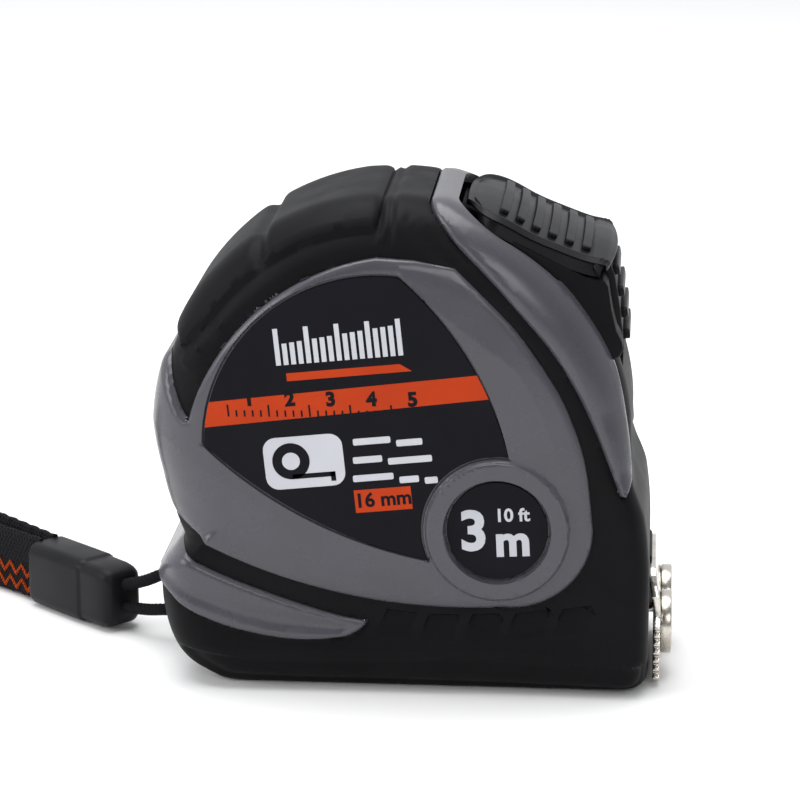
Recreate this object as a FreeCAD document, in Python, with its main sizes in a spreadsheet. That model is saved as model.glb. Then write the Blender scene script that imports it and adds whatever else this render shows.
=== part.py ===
"""Pocket tape measure, 3 m by 16 mm, with a rubber jacket, a rocker lock and a wrist strap.

+X points to the blade's mouth, -Y to the left half of the case, +Z up.  The origin is on the flat
base, in the plane where the two halves of the case meet.  Millimetres.
"""
import FreeCAD, Part
import math
import os
import Sketcher
from FreeCAD import Placement, Rotation, Vector

DIMENSIONS = {
    # case
    "disc_x": -0.3, "disc_z": 32.5, "disc_radius": 31.0, "rim_round": 9.0,
    "case_half": 16.5, "foot_half": 16.0, "foot_front": 32.4, "foot_rear": 30.0,
    "foot_corner": 9.0, "foot_round": 3.5, "jacket_thick": 1.6,
    "cavity_radius": 26.5, "cavity_half": 13.5,
    "channel_low": 5.5, "channel_high": 12.2, "channel_half": 9.2,
    "label_depth": 0.5, "label_thick": 0.3,
    "badge_x": 13.7, "badge_z": 21.5, "badge_radius": 6.2, "ring_radius": 8.7, "ring_height": 0.6,
    "label_ring": 9.4, "label_gap": 0.2,
    # mouth: slippery guide and the hook's rubber stop
    "guide_half": 8.9, "guide_rear": 19.0, "guide_front": 32.0, "guide_low": 5.6, "guide_thick": 1.0,
    "guide_top": 10.8, "rail_thick": 0.5,
    "bumper_half": 5.4, "bumper_rear": 30.6, "bumper_front": 32.7, "bumper_low": 12.6, "bumper_top": 15.4,
    "bumper_round": 0.5, "bumper_gap": 0.1,
    # screws of the case
    "screw_radius": 1.0, "screw_head_radius": 2.2, "screw_head_high": 1.6, "screw_seat": 12.0,
    "screw_tip": 9.0, "boss_radius": 2.6, "well_gap": 0.2, "slot_half": 0.3, "slot_reach": 1.5,
    "slot_floor": 0.9,
    # spool and spring
    "spool_x": -1.5, "spool_z": 29.5, "post_radius": 3.2, "post_half": 14.5, "bore_gap": 0.05,
    "drum_radius": 16.7, "chamber_radius": 15.2, "flange_radius": 21.5, "flange_thick": 1.2,
    "spool_half": 9.6, "roll_radius": 20.5, "roll_inner": 16.75,
    "spring_inner": 6.0, "spring_pitch": 1.6, "spring_thick": 0.5, "spring_half": 7.5, "spring_turns": 5,
    "slit_half": 0.4, "slit_long": 5.0,
    # blade and hook
    "blade_half": 8.0, "blade_thick": 0.15, "blade_z": 8.6, "blade_start": 5.5, "blade_end": 32.8,
    "mid_z": 9.25, "rear_z": 9.7,
    "hook_x": 33.0, "hook_thick": 0.9, "hook_top": 14.6, "hook_low": 0.4, "hook_half": 11.0,
    "tang_z": 7.8, "tang_thick": 0.55, "tang_half": 5.5, "tang_start": 24.0,
    "rivet_radius": 1.0, "rivet_gap": 0.05, "rivet_head": 1.9, "rivet_x": 28.5, "rivet_y": 3.0,
    "hook_play": 0.9, "magnet_z": 6.6, "magnet_y": 5.2, "cup_radius": 4.0, "cup_thick": 1.4,
    "cup_wall": 0.55, "hook_teeth": 7, "tooth_pitch": 1.1, "tooth_deep": 0.45,
    # lock
    "pivot_x": 22.0, "pivot_z": 51.0, "pivot_radius": 1.0, "pin_half": 10.9, "rocker_half": 12.4,
    "brake_half": 4.5, "brake_gap": 0.6, "leg_half": 7.0, "lock_gap": 0.5, "housing_half": 12.6,
    # belt clip
    "clip_half": 7.5, "clip_thick": 0.9, "clip_top": 48.5, "clip_low": 9.0, "clip_stand": 22.8,
    "clip_x": -2.0, "clip_bend": 39.0, "clip_toe": 1.6, "clip_screw_z": 44.0, "clip_screw_radius": 1.15,
    "clip_hole": 1.2, "clip_head": 2.6, "clip_head_high": 1.4,
    # lanyard
    "pin_x": -26.3, "pin_z": 7.2, "pin_radius": 1.5, "recess_half": 6.0, "cord_diameter": 1.6,
    "ferrule_wide": 6.4, "ferrule_high": 8.6, "ferrule_round": 1.2, "strap_wide": 9.0, "strap_thick": 1.6,
}
SCREW_PLACES = [(-14.0, 52.5), (12.0, 53.5), (-18.5, 6.0), (21.0, 16.0)]
LEFT, RIGHT = -1, 1
SIDE_NAMES = {LEFT: "left", RIGHT: "right"}

doc = FreeCAD.newDocument("tape_measure")
sheet = doc.addObject("Spreadsheet::Sheet", "dims")
for row, (alias, number) in enumerate(DIMENSIONS.items(), start=1):
    sheet.set(f"A{row}", alias)
    sheet.set(f"B{row}", str(number))
    sheet.setAlias(f"B{row}", alias)
doc.recompute()
subparts = []


def size(alias):
    return float(sheet.get(alias))


def keep(label, item):
    """Give the finished sub-part its name and put it on the list of pieces."""
    item.Label = label
    subparts.append(item)
    return item


def bind(item, **expressions):
    for prop, expression in expressions.items():
        item.setExpression(prop.replace("__", "."), expression)
    return item


# --- sketch curves: x is along the case, y is up -------------------------------------------------
def line(start, end):
    return Part.LineSegment(Vector(*start, 0), Vector(*end, 0))


def arc(start, middle, end):
    return Part.Arc(Vector(*start, 0), Vector(*middle, 0), Vector(*end, 0))


def polygon(points):
    return [line(a, b) for a, b in zip(points, points[1:] + points[:1])]


def rectangle(low, high):
    return polygon([low, (high[0], low[1]), high, (low[0], high[1])])


def foot_outline(inset):
    """The case's foot: flat base, rounded heel, upright front that leans back above the mouth."""
    front = size("foot_front") - inset
    rear = -size("foot_rear") + inset
    corner = size("foot_corner")
    centre = (-size("foot_rear") + corner, corner)
    bend = (corner - inset) * math.sqrt(0.5)
    heel = (centre[0], inset)
    back = (rear, centre[1])
    curves = [arc(heel, (centre[0] - bend, centre[1] - bend), back)]
    corners = [back, (rear, 14.0), (rear + 1.7, 16.3), (-18, 30), (20, 36), (29.3 - inset, 30.5),
               (front - 0.3, 22), (front, 16), (front, inset), heel]
    curves += [line(a, b) for a, b in zip(corners, corners[1:])]
    return curves


def disc_section(inset, side):
    """Half section of the round drum, from its axis to its strongly rounded rim."""
    half = size("case_half") - inset
    radius = size("disc_radius") - inset
    bend = size("rim_round") - inset
    shift = bend * (1 - math.sqrt(0.5))
    start = (side * half, radius - bend)
    end = (side * (half - bend), radius)
    middle = (side * (half - shift), radius - shift)
    return [line((0, 0), (side * half, 0)), line((side * half, 0), start), arc(start, middle, end),
            line(end, (0, radius)), line((0, radius), (0, 0))]


def panel_outline():
    """The hard side panel that shows through the jacket, a leaf with its point at the rear."""
    return [arc((-26.2, 21), (-26.2, 28), (-24.6, 34.5)), arc((-24.6, 34.5), (-15.5, 48.9), (-1.2, 55.6)),
            line((-1.2, 55.6), (8.4, 54.5)), arc((8.4, 54.5), (20.1, 41.3), (25.4, 21.5)),
            arc((25.4, 21.5), (22.3, 13.9), (14, 11.6)), arc((14, 11.6), (-7, 13.4), (-26.2, 21))]


def label_outline(grow=0.0):
    """The main label: a rounded triangle with the badge's ring cut out of its lower corner."""
    x, z = size("badge_x"), size("badge_z")
    ring = size("label_ring") - grow
    rim = [(x + ring * math.cos(math.radians(a)), z + ring * math.sin(math.radians(a)))
           for a in (82, 145, 206)]
    left, top = (-22.3 - grow, 31.7), (1.5, 53.1 + grow)
    return [arc(left, (-16.2 - grow, 46.7 + grow), top), arc(top, (9.9 + grow, 43.2), rim[0]), arc(*rim),
            arc(rim[2], (-8.0, 21.9 - grow), left)]


# --- features of a body --------------------------------------------------------------------------
def new_body(name):
    return doc.addObject("PartDesign::Body", name)


def new_sketch(body, curves, plane="XZ_Plane", offset=None):
    sketch = body.newObject("Sketcher::SketchObject", body.Name + "_sketch")
    support = next(item for item in body.Origin.OriginFeatures if item.Role == plane)
    sketch.AttachmentSupport = [(support, "")]
    sketch.MapMode = "FlatFace"
    if offset is not None:
        sketch.AttachmentOffset = Placement(offset, Rotation())
    sketch.addGeometry(curves, False)
    return sketch


def round_sketch(body, x, z, radius, offset=None):
    """A circle on the side plane, its centre and radius bound to the sheet."""
    sketch = new_sketch(body, [Part.Circle(Vector(0, 0, 0), Vector(0, 0, 1), 1)], offset=offset)
    wanted = [("Radius", (0, 1.0), radius), ("DistanceX", (-1, 1, 0, 3, 0.0), x),
              ("DistanceY", (-1, 1, 0, 3, 0.0), z)]
    for index, (kind, values, expression) in enumerate(wanted):
        sketch.addConstraint(Sketcher.Constraint(kind, *values))
        sketch.renameConstraint(index, kind.lower())
        sketch.setExpression("Constraints." + kind.lower(), expression)
    return sketch


def pad(body, sketch, length, side):
    """Add the sketch's area, from the side plane outwards to the left or the right."""
    feature = body.newObject("PartDesign::Pad", body.Name + "_pad")
    feature.Profile = sketch
    feature.Reversed = side == RIGHT
    feature.setExpression("Length", length)
    doc.recompute()
    return feature


def pocket(body, sketch, length, side):
    """Cut the sketch's area, from the sketch outwards to the left or the right."""
    before = body.Shape.Volume
    feature = body.newObject("PartDesign::Pocket", body.Name + "_pocket")
    feature.Profile = sketch
    feature.Reversed = side == LEFT
    feature.setExpression("Length", length)
    doc.recompute()
    if body.Shape.Volume > before - 0.01:
        raise RuntimeError(f"{body.Name}: a pocket removed nothing")
    return feature


def hole(body, x, z, radius, length, side, offset=None):
    return pocket(body, round_sketch(body, x, z, radius, offset), length, side)


# --- shapes from primitives ----------------------------------------------------------------------
def rod(name, radius, x, z, y_low, y_high):
    """A cylinder that lies across the case, along Y."""
    item = doc.addObject("Part::Cylinder", name)
    item.Placement = Placement(Vector(0, 0, 0), Rotation(Vector(1, 0, 0), -90))
    return bind(item, Radius=radius, Height=f"({y_high}) - ({y_low})", Placement__Base__x=x,
                Placement__Base__y=y_low, Placement__Base__z=z)


def stud(name, radius, x, y, z_low, z_high):
    item = doc.addObject("Part::Cylinder", name)
    return bind(item, Radius=radius, Height=f"({z_high}) - ({z_low})", Placement__Base__x=x,
                Placement__Base__y=y, Placement__Base__z=z_low)


def disc(name, radius, y, z, x_low, x_high):
    """A cylinder along X, such as a magnet on the hook's face."""
    item = doc.addObject("Part::Cylinder", name)
    item.Placement = Placement(Vector(0, 0, 0), Rotation(Vector(0, 1, 0), 90))
    return bind(item, Radius=radius, Height=f"({x_high}) - ({x_low})", Placement__Base__x=x_low,
                Placement__Base__y=y, Placement__Base__z=z)


def block(name, x, y, z):
    """A box between two expressions along each axis."""
    item = doc.addObject("Part::Box", name)
    return bind(item, Length=f"({x[1]}) - ({x[0]})", Width=f"({y[1]}) - ({y[0]})",
                Height=f"({z[1]}) - ({z[0]})", Placement__Base__x=x[0], Placement__Base__y=y[0],
                Placement__Base__z=z[0])


def fused(name, items):
    item = doc.addObject("Part::MultiFuse", name)
    item.Shapes = items
    return item


def cut(name, base, tool):
    item = doc.addObject("Part::Cut", name)
    item.Base = base
    item.Tool = tool
    doc.recompute()
    if item.Shape.Volume > base.Shape.Volume - 0.001:
        raise RuntimeError(f"{name}: the cut removed nothing")
    return item


# --- case ----------------------------------------------------------------------------------------
# side views of the openings: under the wide thumb rest, round the lock's leg, and the brake's slot
REST_BAY = [(7.9, 66), (7.9, 60), (10.6, 58.8), (13.6, 57.6), (17.6, 55.2), (24, 52.2), (35, 52.2),
            (35, 66)]
LEG_BAY = [(18, 58), (18, 44), (24.4, 39.5), (35, 39.5), (35, 58)]
LOCK_HOUSING = [(16, 56), (24, 52.2), (26.5, 52.2), (26.9, 51), (27.9, 46), (28.4, 41), (20, 38)]
BRAKE_SLOT = [(24.2, 9), (30.2, 47)]
LANYARD_RECESS = [(-40, 2.8), (-22.4, 11.4)]


def half_blank(name, side, inset):
    """Foot and drum of one half, moved in from the outside by inset (an expression)."""
    distance = size("jacket_thick") if inset == "dims.jacket_thick" else 0.0
    body = new_body(name)
    foot = pad(body, new_sketch(body, foot_outline(distance)), f"dims.foot_half - {inset}", side)
    outer = side * (size("foot_half") - distance)
    edges = [f"Edge{n}" for n, edge in enumerate(foot.Shape.Edges, start=1)
             if all(abs(v.Point.y - outer) < 1e-4 for v in edge.Vertexes)]
    rounding = body.newObject("PartDesign::Fillet", name + "_round")
    rounding.Base = (foot, edges)
    rounding.setExpression("Radius", f"dims.foot_round - {inset}")
    doc.recompute()
    section = new_sketch(body, disc_section(distance, side), "YZ_Plane",
                         Vector(0, size("disc_z"), size("disc_x")))
    drum = body.newObject("PartDesign::Revolution", name + "_drum")
    drum.Profile = section
    drum.ReferenceAxis = (section, ["H_Axis"])
    drum.Angle = 360
    doc.recompute()
    return body


def open_half(body, side):
    """The openings that go through jacket and shell: mouth, lock bay, lanyard recess, screw wells."""
    outside, gap = 2 * size("foot_front"), size("bumper_gap")
    mouth = rectangle((27, size("channel_low")), (outside, size("channel_high")))
    pocket(body, new_sketch(body, mouth), "dims.channel_half", side)
    stop_seat = rectangle((size("bumper_rear") - gap, size("bumper_low") - gap),
                          (outside, size("bumper_top") + gap))
    pocket(body, new_sketch(body, stop_seat), "dims.bumper_half + dims.bumper_gap", side)
    pocket(body, new_sketch(body, polygon(REST_BAY)), "dims.rocker_half + dims.lock_gap", side)
    pocket(body, new_sketch(body, polygon(LEG_BAY)), "dims.leg_half + dims.lock_gap", side)
    pocket(body, new_sketch(body, rectangle(*LANYARD_RECESS)), "dims.recess_half", side)
    hole(body, "dims.pivot_x", "dims.pivot_z", "dims.pivot_radius", "dims.pin_half", side)
    if side == RIGHT:
        for x, z in SCREW_PLACES:
            seat = Vector(0, 0, -size("screw_seat"))
            hole(body, str(x), str(z), "dims.screw_head_radius + dims.well_gap", "dims.case_half", side, seat)


def make_jacket(side):
    """The soft overmould: the outside of the half less the hard shell and its side panel."""
    name = "jacket_" + SIDE_NAMES[side]
    outside = half_blank(name + "_outside", side, "0")
    pad(outside, new_sketch(outside, polygon(LOCK_HOUSING)), "dims.housing_half", side)
    open_half(outside, side)
    inside = half_blank(name + "_inside", side, "dims.jacket_thick")
    pad(inside, new_sketch(inside, panel_outline()), "dims.case_half + 1", side)
    return keep(name, cut(name, outside, inside))


def make_shell(side):
    """The hard half: walls, side panel with its badge ring, bosses, and seats for what it holds."""
    name = "shell_" + SIDE_NAMES[side]
    body = half_blank(name, side, "dims.jacket_thick")
    pad(body, new_sketch(body, panel_outline()), "dims.case_half", side)
    pad(body, round_sketch(body, "dims.badge_x", "dims.badge_z", "dims.ring_radius"),
        "dims.case_half + dims.ring_height", side)
    hole(body, "dims.disc_x", "dims.disc_z", "dims.cavity_radius", "dims.cavity_half", side)
    for x, z in SCREW_PLACES:
        pad(body, round_sketch(body, str(x), str(z), "dims.boss_radius"), "dims.cavity_half", side)
    open_half(body, side)
    channel = rectangle((-6, size("channel_low")), (28, size("channel_high")))
    pocket(body, new_sketch(body, channel), "dims.channel_half", side)
    pocket(body, new_sketch(body, rectangle(*BRAKE_SLOT)), "dims.brake_half + dims.brake_gap", side)
    outer = Vector(0, 0, -side * (size("case_half") + 1))
    label_seat = new_sketch(body, label_outline(size("label_gap")), offset=outer)
    pocket(body, label_seat, "1 + dims.label_depth", -side)
    hole(body, "dims.badge_x", "dims.badge_z", "dims.badge_radius + 0.1",
         "1 + dims.label_depth", -side, outer)
    hole(body, "dims.spool_x", "dims.spool_z", "dims.post_radius", "dims.post_half", side)
    hole(body, "dims.pin_x", "dims.pin_z", "dims.pin_radius", "dims.recess_half + 2", side)
    for x, z in SCREW_PLACES:
        if side == RIGHT:
            hole(body, str(x), str(z), "dims.screw_radius + dims.well_gap", "dims.case_half", side)
        else:
            hole(body, str(x), str(z), "dims.screw_radius", "dims.screw_tip + 0.5", side)
    if side == RIGHT:
        hole(body, "dims.clip_x", "dims.clip_screw_z", "dims.clip_hole", "dims.case_half", side)
    return keep(name, body)


def make_labels(side):
    """The main label and the round badge label, each on the floor of its own shallow recess."""
    name = SIDE_NAMES[side]
    floor = Vector(0, 0, -side * (size("case_half") - size("label_depth")))
    label = new_body("main_label_" + name)
    pad(label, new_sketch(label, label_outline(), offset=floor), "dims.label_thick", side)
    if side == RIGHT:
        hole(label, "dims.clip_x", "dims.clip_screw_z", "dims.clip_hole", "dims.case_half + 1", side)
    keep(label.Name, label)
    floor_y = f"{side} * (dims.case_half - dims.label_depth)"
    low, high = (floor_y, f"{floor_y} + dims.label_thick")
    if side == LEFT:
        low, high = (f"{floor_y} - dims.label_thick", floor_y)
    badge = rod("badge_label_" + name, "dims.badge_radius", "dims.badge_x", "dims.badge_z", low, high)
    keep(badge.Name, badge)


def make_case_screws():
    """Four slotted screws that hold the two halves, put in from the right."""
    screws = []
    for n, (x, z) in enumerate(SCREW_PLACES, start=1):
        shank = rod(f"screw_shank_{n}", "dims.screw_radius", str(x), str(z), "-dims.screw_tip",
                    "dims.screw_seat + 0.5")
        head = rod(f"screw_head_{n}", "dims.screw_head_radius", str(x), str(z), "dims.screw_seat",
                   "dims.screw_seat + dims.screw_head_high")
        slot = block(f"screw_slot_{n}", (f"{x} - dims.slot_reach", f"{x} + dims.slot_reach"),
                     ("dims.screw_seat + dims.slot_floor", "dims.case_half"),
                     (f"{z} - dims.slot_half", f"{z} + dims.slot_half"))
        screws.append(cut(f"screw_{n}", fused(f"screw_blank_{n}", [shank, head]), slot))
    group = doc.addObject("Part::Compound", "case_screws")
    group.Links = screws
    return keep("case_screws", group)


# --- spool ---------------------------------------------------------------------------------------
def make_post():
    """The fixed post that the spool turns on, slit to hold the spring's inner end."""
    post = rod("post_bar", "dims.post_radius", "dims.spool_x", "dims.spool_z", "-dims.post_half",
               "dims.post_half")
    slit = block("post_slit", ("dims.spool_x - dims.slit_long", "dims.spool_x"),
                 ("-dims.spring_half", "dims.spring_half"),
                 ("dims.spool_z - dims.slit_half", "dims.spool_z + dims.slit_half"))
    return keep("hub_post", cut("hub_post", post, slit))


def spool_rod(name, radius, y_low, y_high):
    return rod(name, radius, "dims.spool_x", "dims.spool_z", y_low, y_high)


def make_spool():
    """Drum with one flange, and the disc that closes the spring's chamber on the other side."""
    wall = "dims.spool_half - dims.flange_thick"
    bore = "dims.post_radius + dims.bore_gap"
    drum = spool_rod("drum_wall", "dims.drum_radius", "-dims.spool_half", wall)
    flange = spool_rod("drum_flange", "dims.flange_radius", "-dims.spool_half", f"-({wall})")
    chamber = spool_rod("drum_chamber", "dims.chamber_radius", f"-({wall})", "dims.spool_half")
    hub_bore = spool_rod("drum_bore", bore, "-20", "20")
    hollow = fused("drum_hollow", [chamber, hub_bore])
    keep("spool_drum", cut("spool_drum", fused("drum_solid", [drum, flange]), hollow))
    lid = spool_rod("lid_disc", "dims.flange_radius", wall, "dims.spool_half")
    lid_bore = spool_rod("lid_bore", bore, "0", "20")
    keep("spring_cover", cut("spring_cover", lid, lid_bore))
    roll = spool_rod("roll_outer", "dims.roll_radius", "-dims.blade_half", "dims.blade_half")
    inner = spool_rod("roll_inner", "dims.roll_inner", "-20", "20")
    keep("blade_roll", cut("blade_roll", roll, inner))


def make_power_spring():
    """A wound strip, drawn as half circles about two centres that grow by half a pitch each."""
    pitch, thick = size("spring_pitch"), size("spring_thick")
    sides = []
    for shift in (-thick / 2, thick / 2):
        edges = []
        radius = size("spring_inner") + shift
        centre = 0.0
        direction = 1
        for n in range(int(2 * size("spring_turns"))):
            start, end = centre + direction * radius, centre - direction * radius
            edges.append(Part.Arc(Vector(start, 0, 0), Vector(centre, 0, direction * radius),
                                  Vector(end, 0, 0)).toShape())
            centre += direction * pitch / 2
            radius += pitch / 2
            direction = -direction
        sides.append(edges)
    ends = [Part.makeLine(sides[0][k].Vertexes[v].Point, sides[1][k].Vertexes[v].Point)
            for k, v in ((0, 0), (-1, 1))]
    outline = Part.Wire(Part.__sortEdges__(sides[0] + sides[1] + ends))
    strip = Part.Face(outline).extrude(Vector(0, 2 * size("spring_half"), 0))
    spring = doc.addObject("Part::Feature", "power_spring")
    spring.Shape = strip
    corner = Vector(size("spool_x"), -size("spring_half"), size("spool_z"))
    spring.Placement = Placement(corner, Rotation())
    return keep("power_spring", spring)


# --- blade and hook ------------------------------------------------------------------------------
def make_blade():
    """The straight stretch of blade, in three thin lengths that slide on each other."""
    along = ("dims.blade_start", "dims.blade_end")
    across = ("-dims.blade_half", "dims.blade_half")
    for name, low in (("blade_mid_length", "dims.mid_z"), ("blade_rear_length", "dims.rear_z")):
        keep(name, block(name, along, across, (low, f"{low} + dims.blade_thick")))
    strip = block("blade_strip", along, across, ("dims.blade_z", "dims.blade_z + dims.blade_thick"))
    holes = [stud(f"rivet_hole_{n}", "dims.rivet_radius", "dims.rivet_x", f"{n} * dims.rivet_y",
                  "dims.blade_z - 1", "dims.blade_z + 1") for n in (-1, 1)]
    keep("blade_tip_length", cut("blade_tip_length", strip, fused("rivet_holes", holes)))
    rivets = []
    for n in (-1, 1):
        place = ("dims.rivet_x", f"{n} * dims.rivet_y")
        shank = stud(f"rivet_shank_{n}", "dims.rivet_radius", *place, "dims.tang_z - 0.4",
                     "dims.blade_z + dims.blade_thick + 0.1")
        top = stud(f"rivet_top_{n}", "dims.rivet_head", *place, "dims.blade_z + dims.blade_thick",
                   "dims.blade_z + dims.blade_thick + 0.2")
        low = stud(f"rivet_low_{n}", "dims.rivet_head", *place, "dims.tang_z - 0.45", "dims.tang_z - 0.05")
        rivets.append(fused(f"rivet_{n}", [shank, top, low]))
    group = doc.addObject("Part::Compound", "hook_rivets")
    group.Links = rivets
    keep("hook_rivets", group)


def hook_outline():
    """Front view of the hook: wide toothed lower blade, waist, and rounded upper ear."""
    half, low, top = size("hook_half"), size("hook_low"), size("hook_top")
    teeth, pitch, root = int(size("hook_teeth")), size("tooth_pitch"), half - size("tooth_deep")
    right = []
    for n in range(teeth):
        right += [(root, low + n * pitch), (half, low + (n + 0.5) * pitch)]
    right.append((root, low + teeth * pitch))
    shoulder = [(half - 1.6, low + teeth * pitch + 0.5), (half - 1.2, 9.6)]
    right += shoulder
    left = [(-y, z) for y, z in reversed(right)]
    ear = (half - 1.2, top - 4.0)
    crown = [line(right[-1], ear), arc(ear, (half - 2.4, top - 1.2), (half - 5.4, top)),
             line((half - 5.4, top), (-half + 5.4, top)),
             arc((-half + 5.4, top), (-half + 2.4, top - 1.2), (-ear[0], ear[1])),
             line((-ear[0], ear[1]), left[0])]
    sides = [line(a, b) for edge in (right, left) for a, b in zip(edge, edge[1:])]
    return sides + crown + [line(left[-1], right[0])]


def make_hook():
    """The hook's plate and its tang with two long slots, and the two magnets in steel cups."""
    body = new_body("hook")
    face = new_sketch(body, hook_outline(), "YZ_Plane", Vector(0, 0, size("hook_x")))
    plate = body.newObject("PartDesign::Pad", "hook_plate")
    plate.Profile = face
    plate.setExpression("Length", "dims.hook_thick")
    doc.recompute()
    low = (size("tang_start"), -size("tang_half"))
    high = (size("hook_x") + 0.2, size("tang_half"))
    tang_sketch = new_sketch(body, rectangle(low, high), "XY_Plane", Vector(0, 0, size("tang_z")))
    tang = body.newObject("PartDesign::Pad", "hook_tang")
    tang.Profile = tang_sketch
    tang.setExpression("Length", "dims.tang_thick")
    doc.recompute()
    radius = size("rivet_radius") + size("rivet_gap")
    rear, front = size("rivet_x") - size("hook_play"), size("rivet_x")
    slots = []
    for y in (-size("rivet_y"), size("rivet_y")):
        slots += [line((rear, y - radius), (front, y - radius)),
                  arc((front, y - radius), (front + radius, y), (front, y + radius)),
                  line((front, y + radius), (rear, y + radius)),
                  arc((rear, y + radius), (rear - radius, y), (rear, y - radius))]
    slot_sketch = new_sketch(body, slots, "XY_Plane", Vector(0, 0, size("tang_z") + 2))
    before = body.Shape.Volume
    slot_pocket = body.newObject("PartDesign::Pocket", "hook_slots")
    slot_pocket.Profile = slot_sketch
    slot_pocket.Length = 4
    doc.recompute()
    if body.Shape.Volume > before - 0.1:
        raise RuntimeError("hook: the slots removed nothing")
    keep("hook", body)
    front_face = "dims.hook_x + dims.hook_thick"
    cups, magnets = [], []
    for n in (-1, 1):
        place = (f"{n} * dims.magnet_y", "dims.magnet_z")
        cup = disc(f"cup_solid_{n}", "dims.cup_radius", *place, front_face, f"{front_face} + dims.cup_thick")
        well = disc(f"cup_well_{n}", "dims.cup_radius - dims.cup_wall", *place,
                    f"{front_face} + dims.cup_wall", f"{front_face} + 5")
        cups.append(cut(f"cup_{n}", cup, well))
        magnets.append(disc(f"magnet_{n}", "dims.cup_radius - dims.cup_wall", *place,
                            f"{front_face} + dims.cup_wall", f"{front_face} + dims.cup_thick - 0.1"))
    for label, items in (("magnet_cups", cups), ("hook_magnets", magnets)):
        group = doc.addObject("Part::Compound", label)
        group.Links = items
        keep(label, group)


def make_mouth():
    """The slippery channel that the blade leaves through, and the rubber stop for the hook."""
    along = ("dims.guide_rear", "dims.guide_front")
    floor_top = "dims.guide_low + dims.guide_thick"
    floor = block("guide_floor", along, ("-dims.guide_half", "dims.guide_half"),
                  ("dims.guide_low", floor_top))
    rails = [block("guide_rail_1", along, ("-dims.guide_half", "dims.rail_thick - dims.guide_half"),
                   (floor_top, "dims.guide_top")),
             block("guide_rail_2", along, ("dims.guide_half - dims.rail_thick", "dims.guide_half"),
                   (floor_top, "dims.guide_top"))]
    keep("mouth_guide", fused("mouth_guide", [floor] + rails))
    bumper = block("bumper_block", ("dims.bumper_rear", "dims.bumper_front"),
                   ("-dims.bumper_half", "dims.bumper_half"), ("dims.bumper_low", "dims.bumper_top"))
    rounding = doc.addObject("Part::Fillet", "hook_bumper")
    rounding.Base = bumper
    doc.recompute()
    front = [n for n, edge in enumerate(bumper.Shape.Edges, start=1)
             if all(abs(v.Point.x - size("bumper_front")) < 1e-4 for v in edge.Vertexes)]
    rounding.Edges = [(n, size("bumper_round"), size("bumper_round")) for n in front]
    keep("hook_bumper", rounding)


# --- lock ----------------------------------------------------------------------------------------
THUMB_REST = [(8.9, 60.4), (9.6, 61.2), (11.2, 61.5), (13.2, 60.8), (15, 59.8), (17.8, 58.1), (21, 56.8),
              (24, 55.7), (26.4, 55.2), (27.3, 54.4), (27.3, 53.4), (23.6, 53.6), (18, 56.4), (13.8, 58.8),
              (10.8, 60.0)]
LOCK_LEG = [(24.8, 54.2), (27.3, 54.2), (28, 50), (29.1, 45.5), (29.1, 43.2), (28.5, 41.9), (27.2, 42.4),
            (25.7, 51.4)]
ROCKER_WEB = [(20.2, 50.2), (23.9, 50.0), (25.9, 52.0), (25.0, 54.6), (19.5, 56.6)]
BRAKE_SHOE = [(24.8, 11.4), (29.4, 11.4), (29.4, 13.2), (27.6, 15), (27.6, 41.2), (26.2, 41.2), (26.2, 15),
              (24.8, 13.2)]


def make_lock():
    """A rocker with a ribbed thumb rest on top and a short leg in front, on a cross pin."""
    body = new_body("lock_rocker")
    for name, outline, half in (("rest", THUMB_REST, "rocker_half"), ("leg", LOCK_LEG, "leg_half"),
                                ("web", ROCKER_WEB, "brake_half")):
        slab = body.newObject("PartDesign::Pad", "rocker_" + name)
        slab.Profile = new_sketch(body, polygon(outline))
        slab.SideType = "Symmetric"
        slab.setExpression("Length", f"2 * dims.{half}")
        doc.recompute()
    bore = body.newObject("PartDesign::Pocket", "rocker_bore")
    bore.Profile = round_sketch(body, "dims.pivot_x", "dims.pivot_z", "dims.pivot_radius + dims.bore_gap")
    bore.SideType = "Symmetric"
    bore.setExpression("Length", "4 * dims.brake_half")
    doc.recompute()
    keep("lock_rocker", body)
    keep("lock_pin", rod("lock_pin", "dims.pivot_radius", "dims.pivot_x", "dims.pivot_z", "-dims.pin_half",
                         "dims.pin_half"))
    brake = new_body("brake_shoe")
    strip = brake.newObject("PartDesign::Pad", "brake_strip")
    strip.Profile = new_sketch(brake, polygon(BRAKE_SHOE))
    strip.SideType = "Symmetric"
    strip.setExpression("Length", "2 * dims.brake_half")
    doc.recompute()
    keep("brake_shoe", brake)


# --- belt clip -----------------------------------------------------------------------------------
def make_clip():
    """Stamped spring clip: a flat base under one screw, a step out, and a long leg down."""
    body = new_body("belt_clip")
    base = size("case_half") - size("label_depth") + size("label_thick")
    thick, out = size("clip_thick"), size("clip_stand")
    bend, low, top = size("clip_bend"), size("clip_low"), size("clip_top")
    toe = base + size("clip_toe")
    inner = [(base, top), (base, bend), (out - thick, bend - 5), (out - thick, low + 5), (toe, low)]
    outer = [(toe + thick, low - 0.4), (out, low + 4.7), (out, bend - 4.7), (base + thick, bend + 0.3),
             (base + thick, top)]
    leg = body.newObject("PartDesign::Pad", "clip_leg")
    leg.Profile = new_sketch(body, polygon(inner + outer), "YZ_Plane", Vector(0, 0, size("clip_x")))
    leg.SideType = "Symmetric"
    leg.setExpression("Length", "2 * dims.clip_half")
    doc.recompute()
    hole(body, "dims.clip_x", "dims.clip_screw_z", "dims.clip_hole", "dims.clip_stand", RIGHT)
    keep("belt_clip", body)
    seat = "dims.case_half - dims.label_depth + dims.label_thick + dims.clip_thick"
    place = ("dims.clip_x", "dims.clip_screw_z")
    shank = rod("clip_screw_shank", "dims.clip_screw_radius", *place, "dims.cavity_half + 0.2",
                f"{seat} + 0.3")
    head = rod("clip_screw_head", "dims.clip_head", *place, seat, f"{seat} + dims.clip_head_high")
    keep("clip_screw", fused("clip_screw", [shank, head]))


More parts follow.
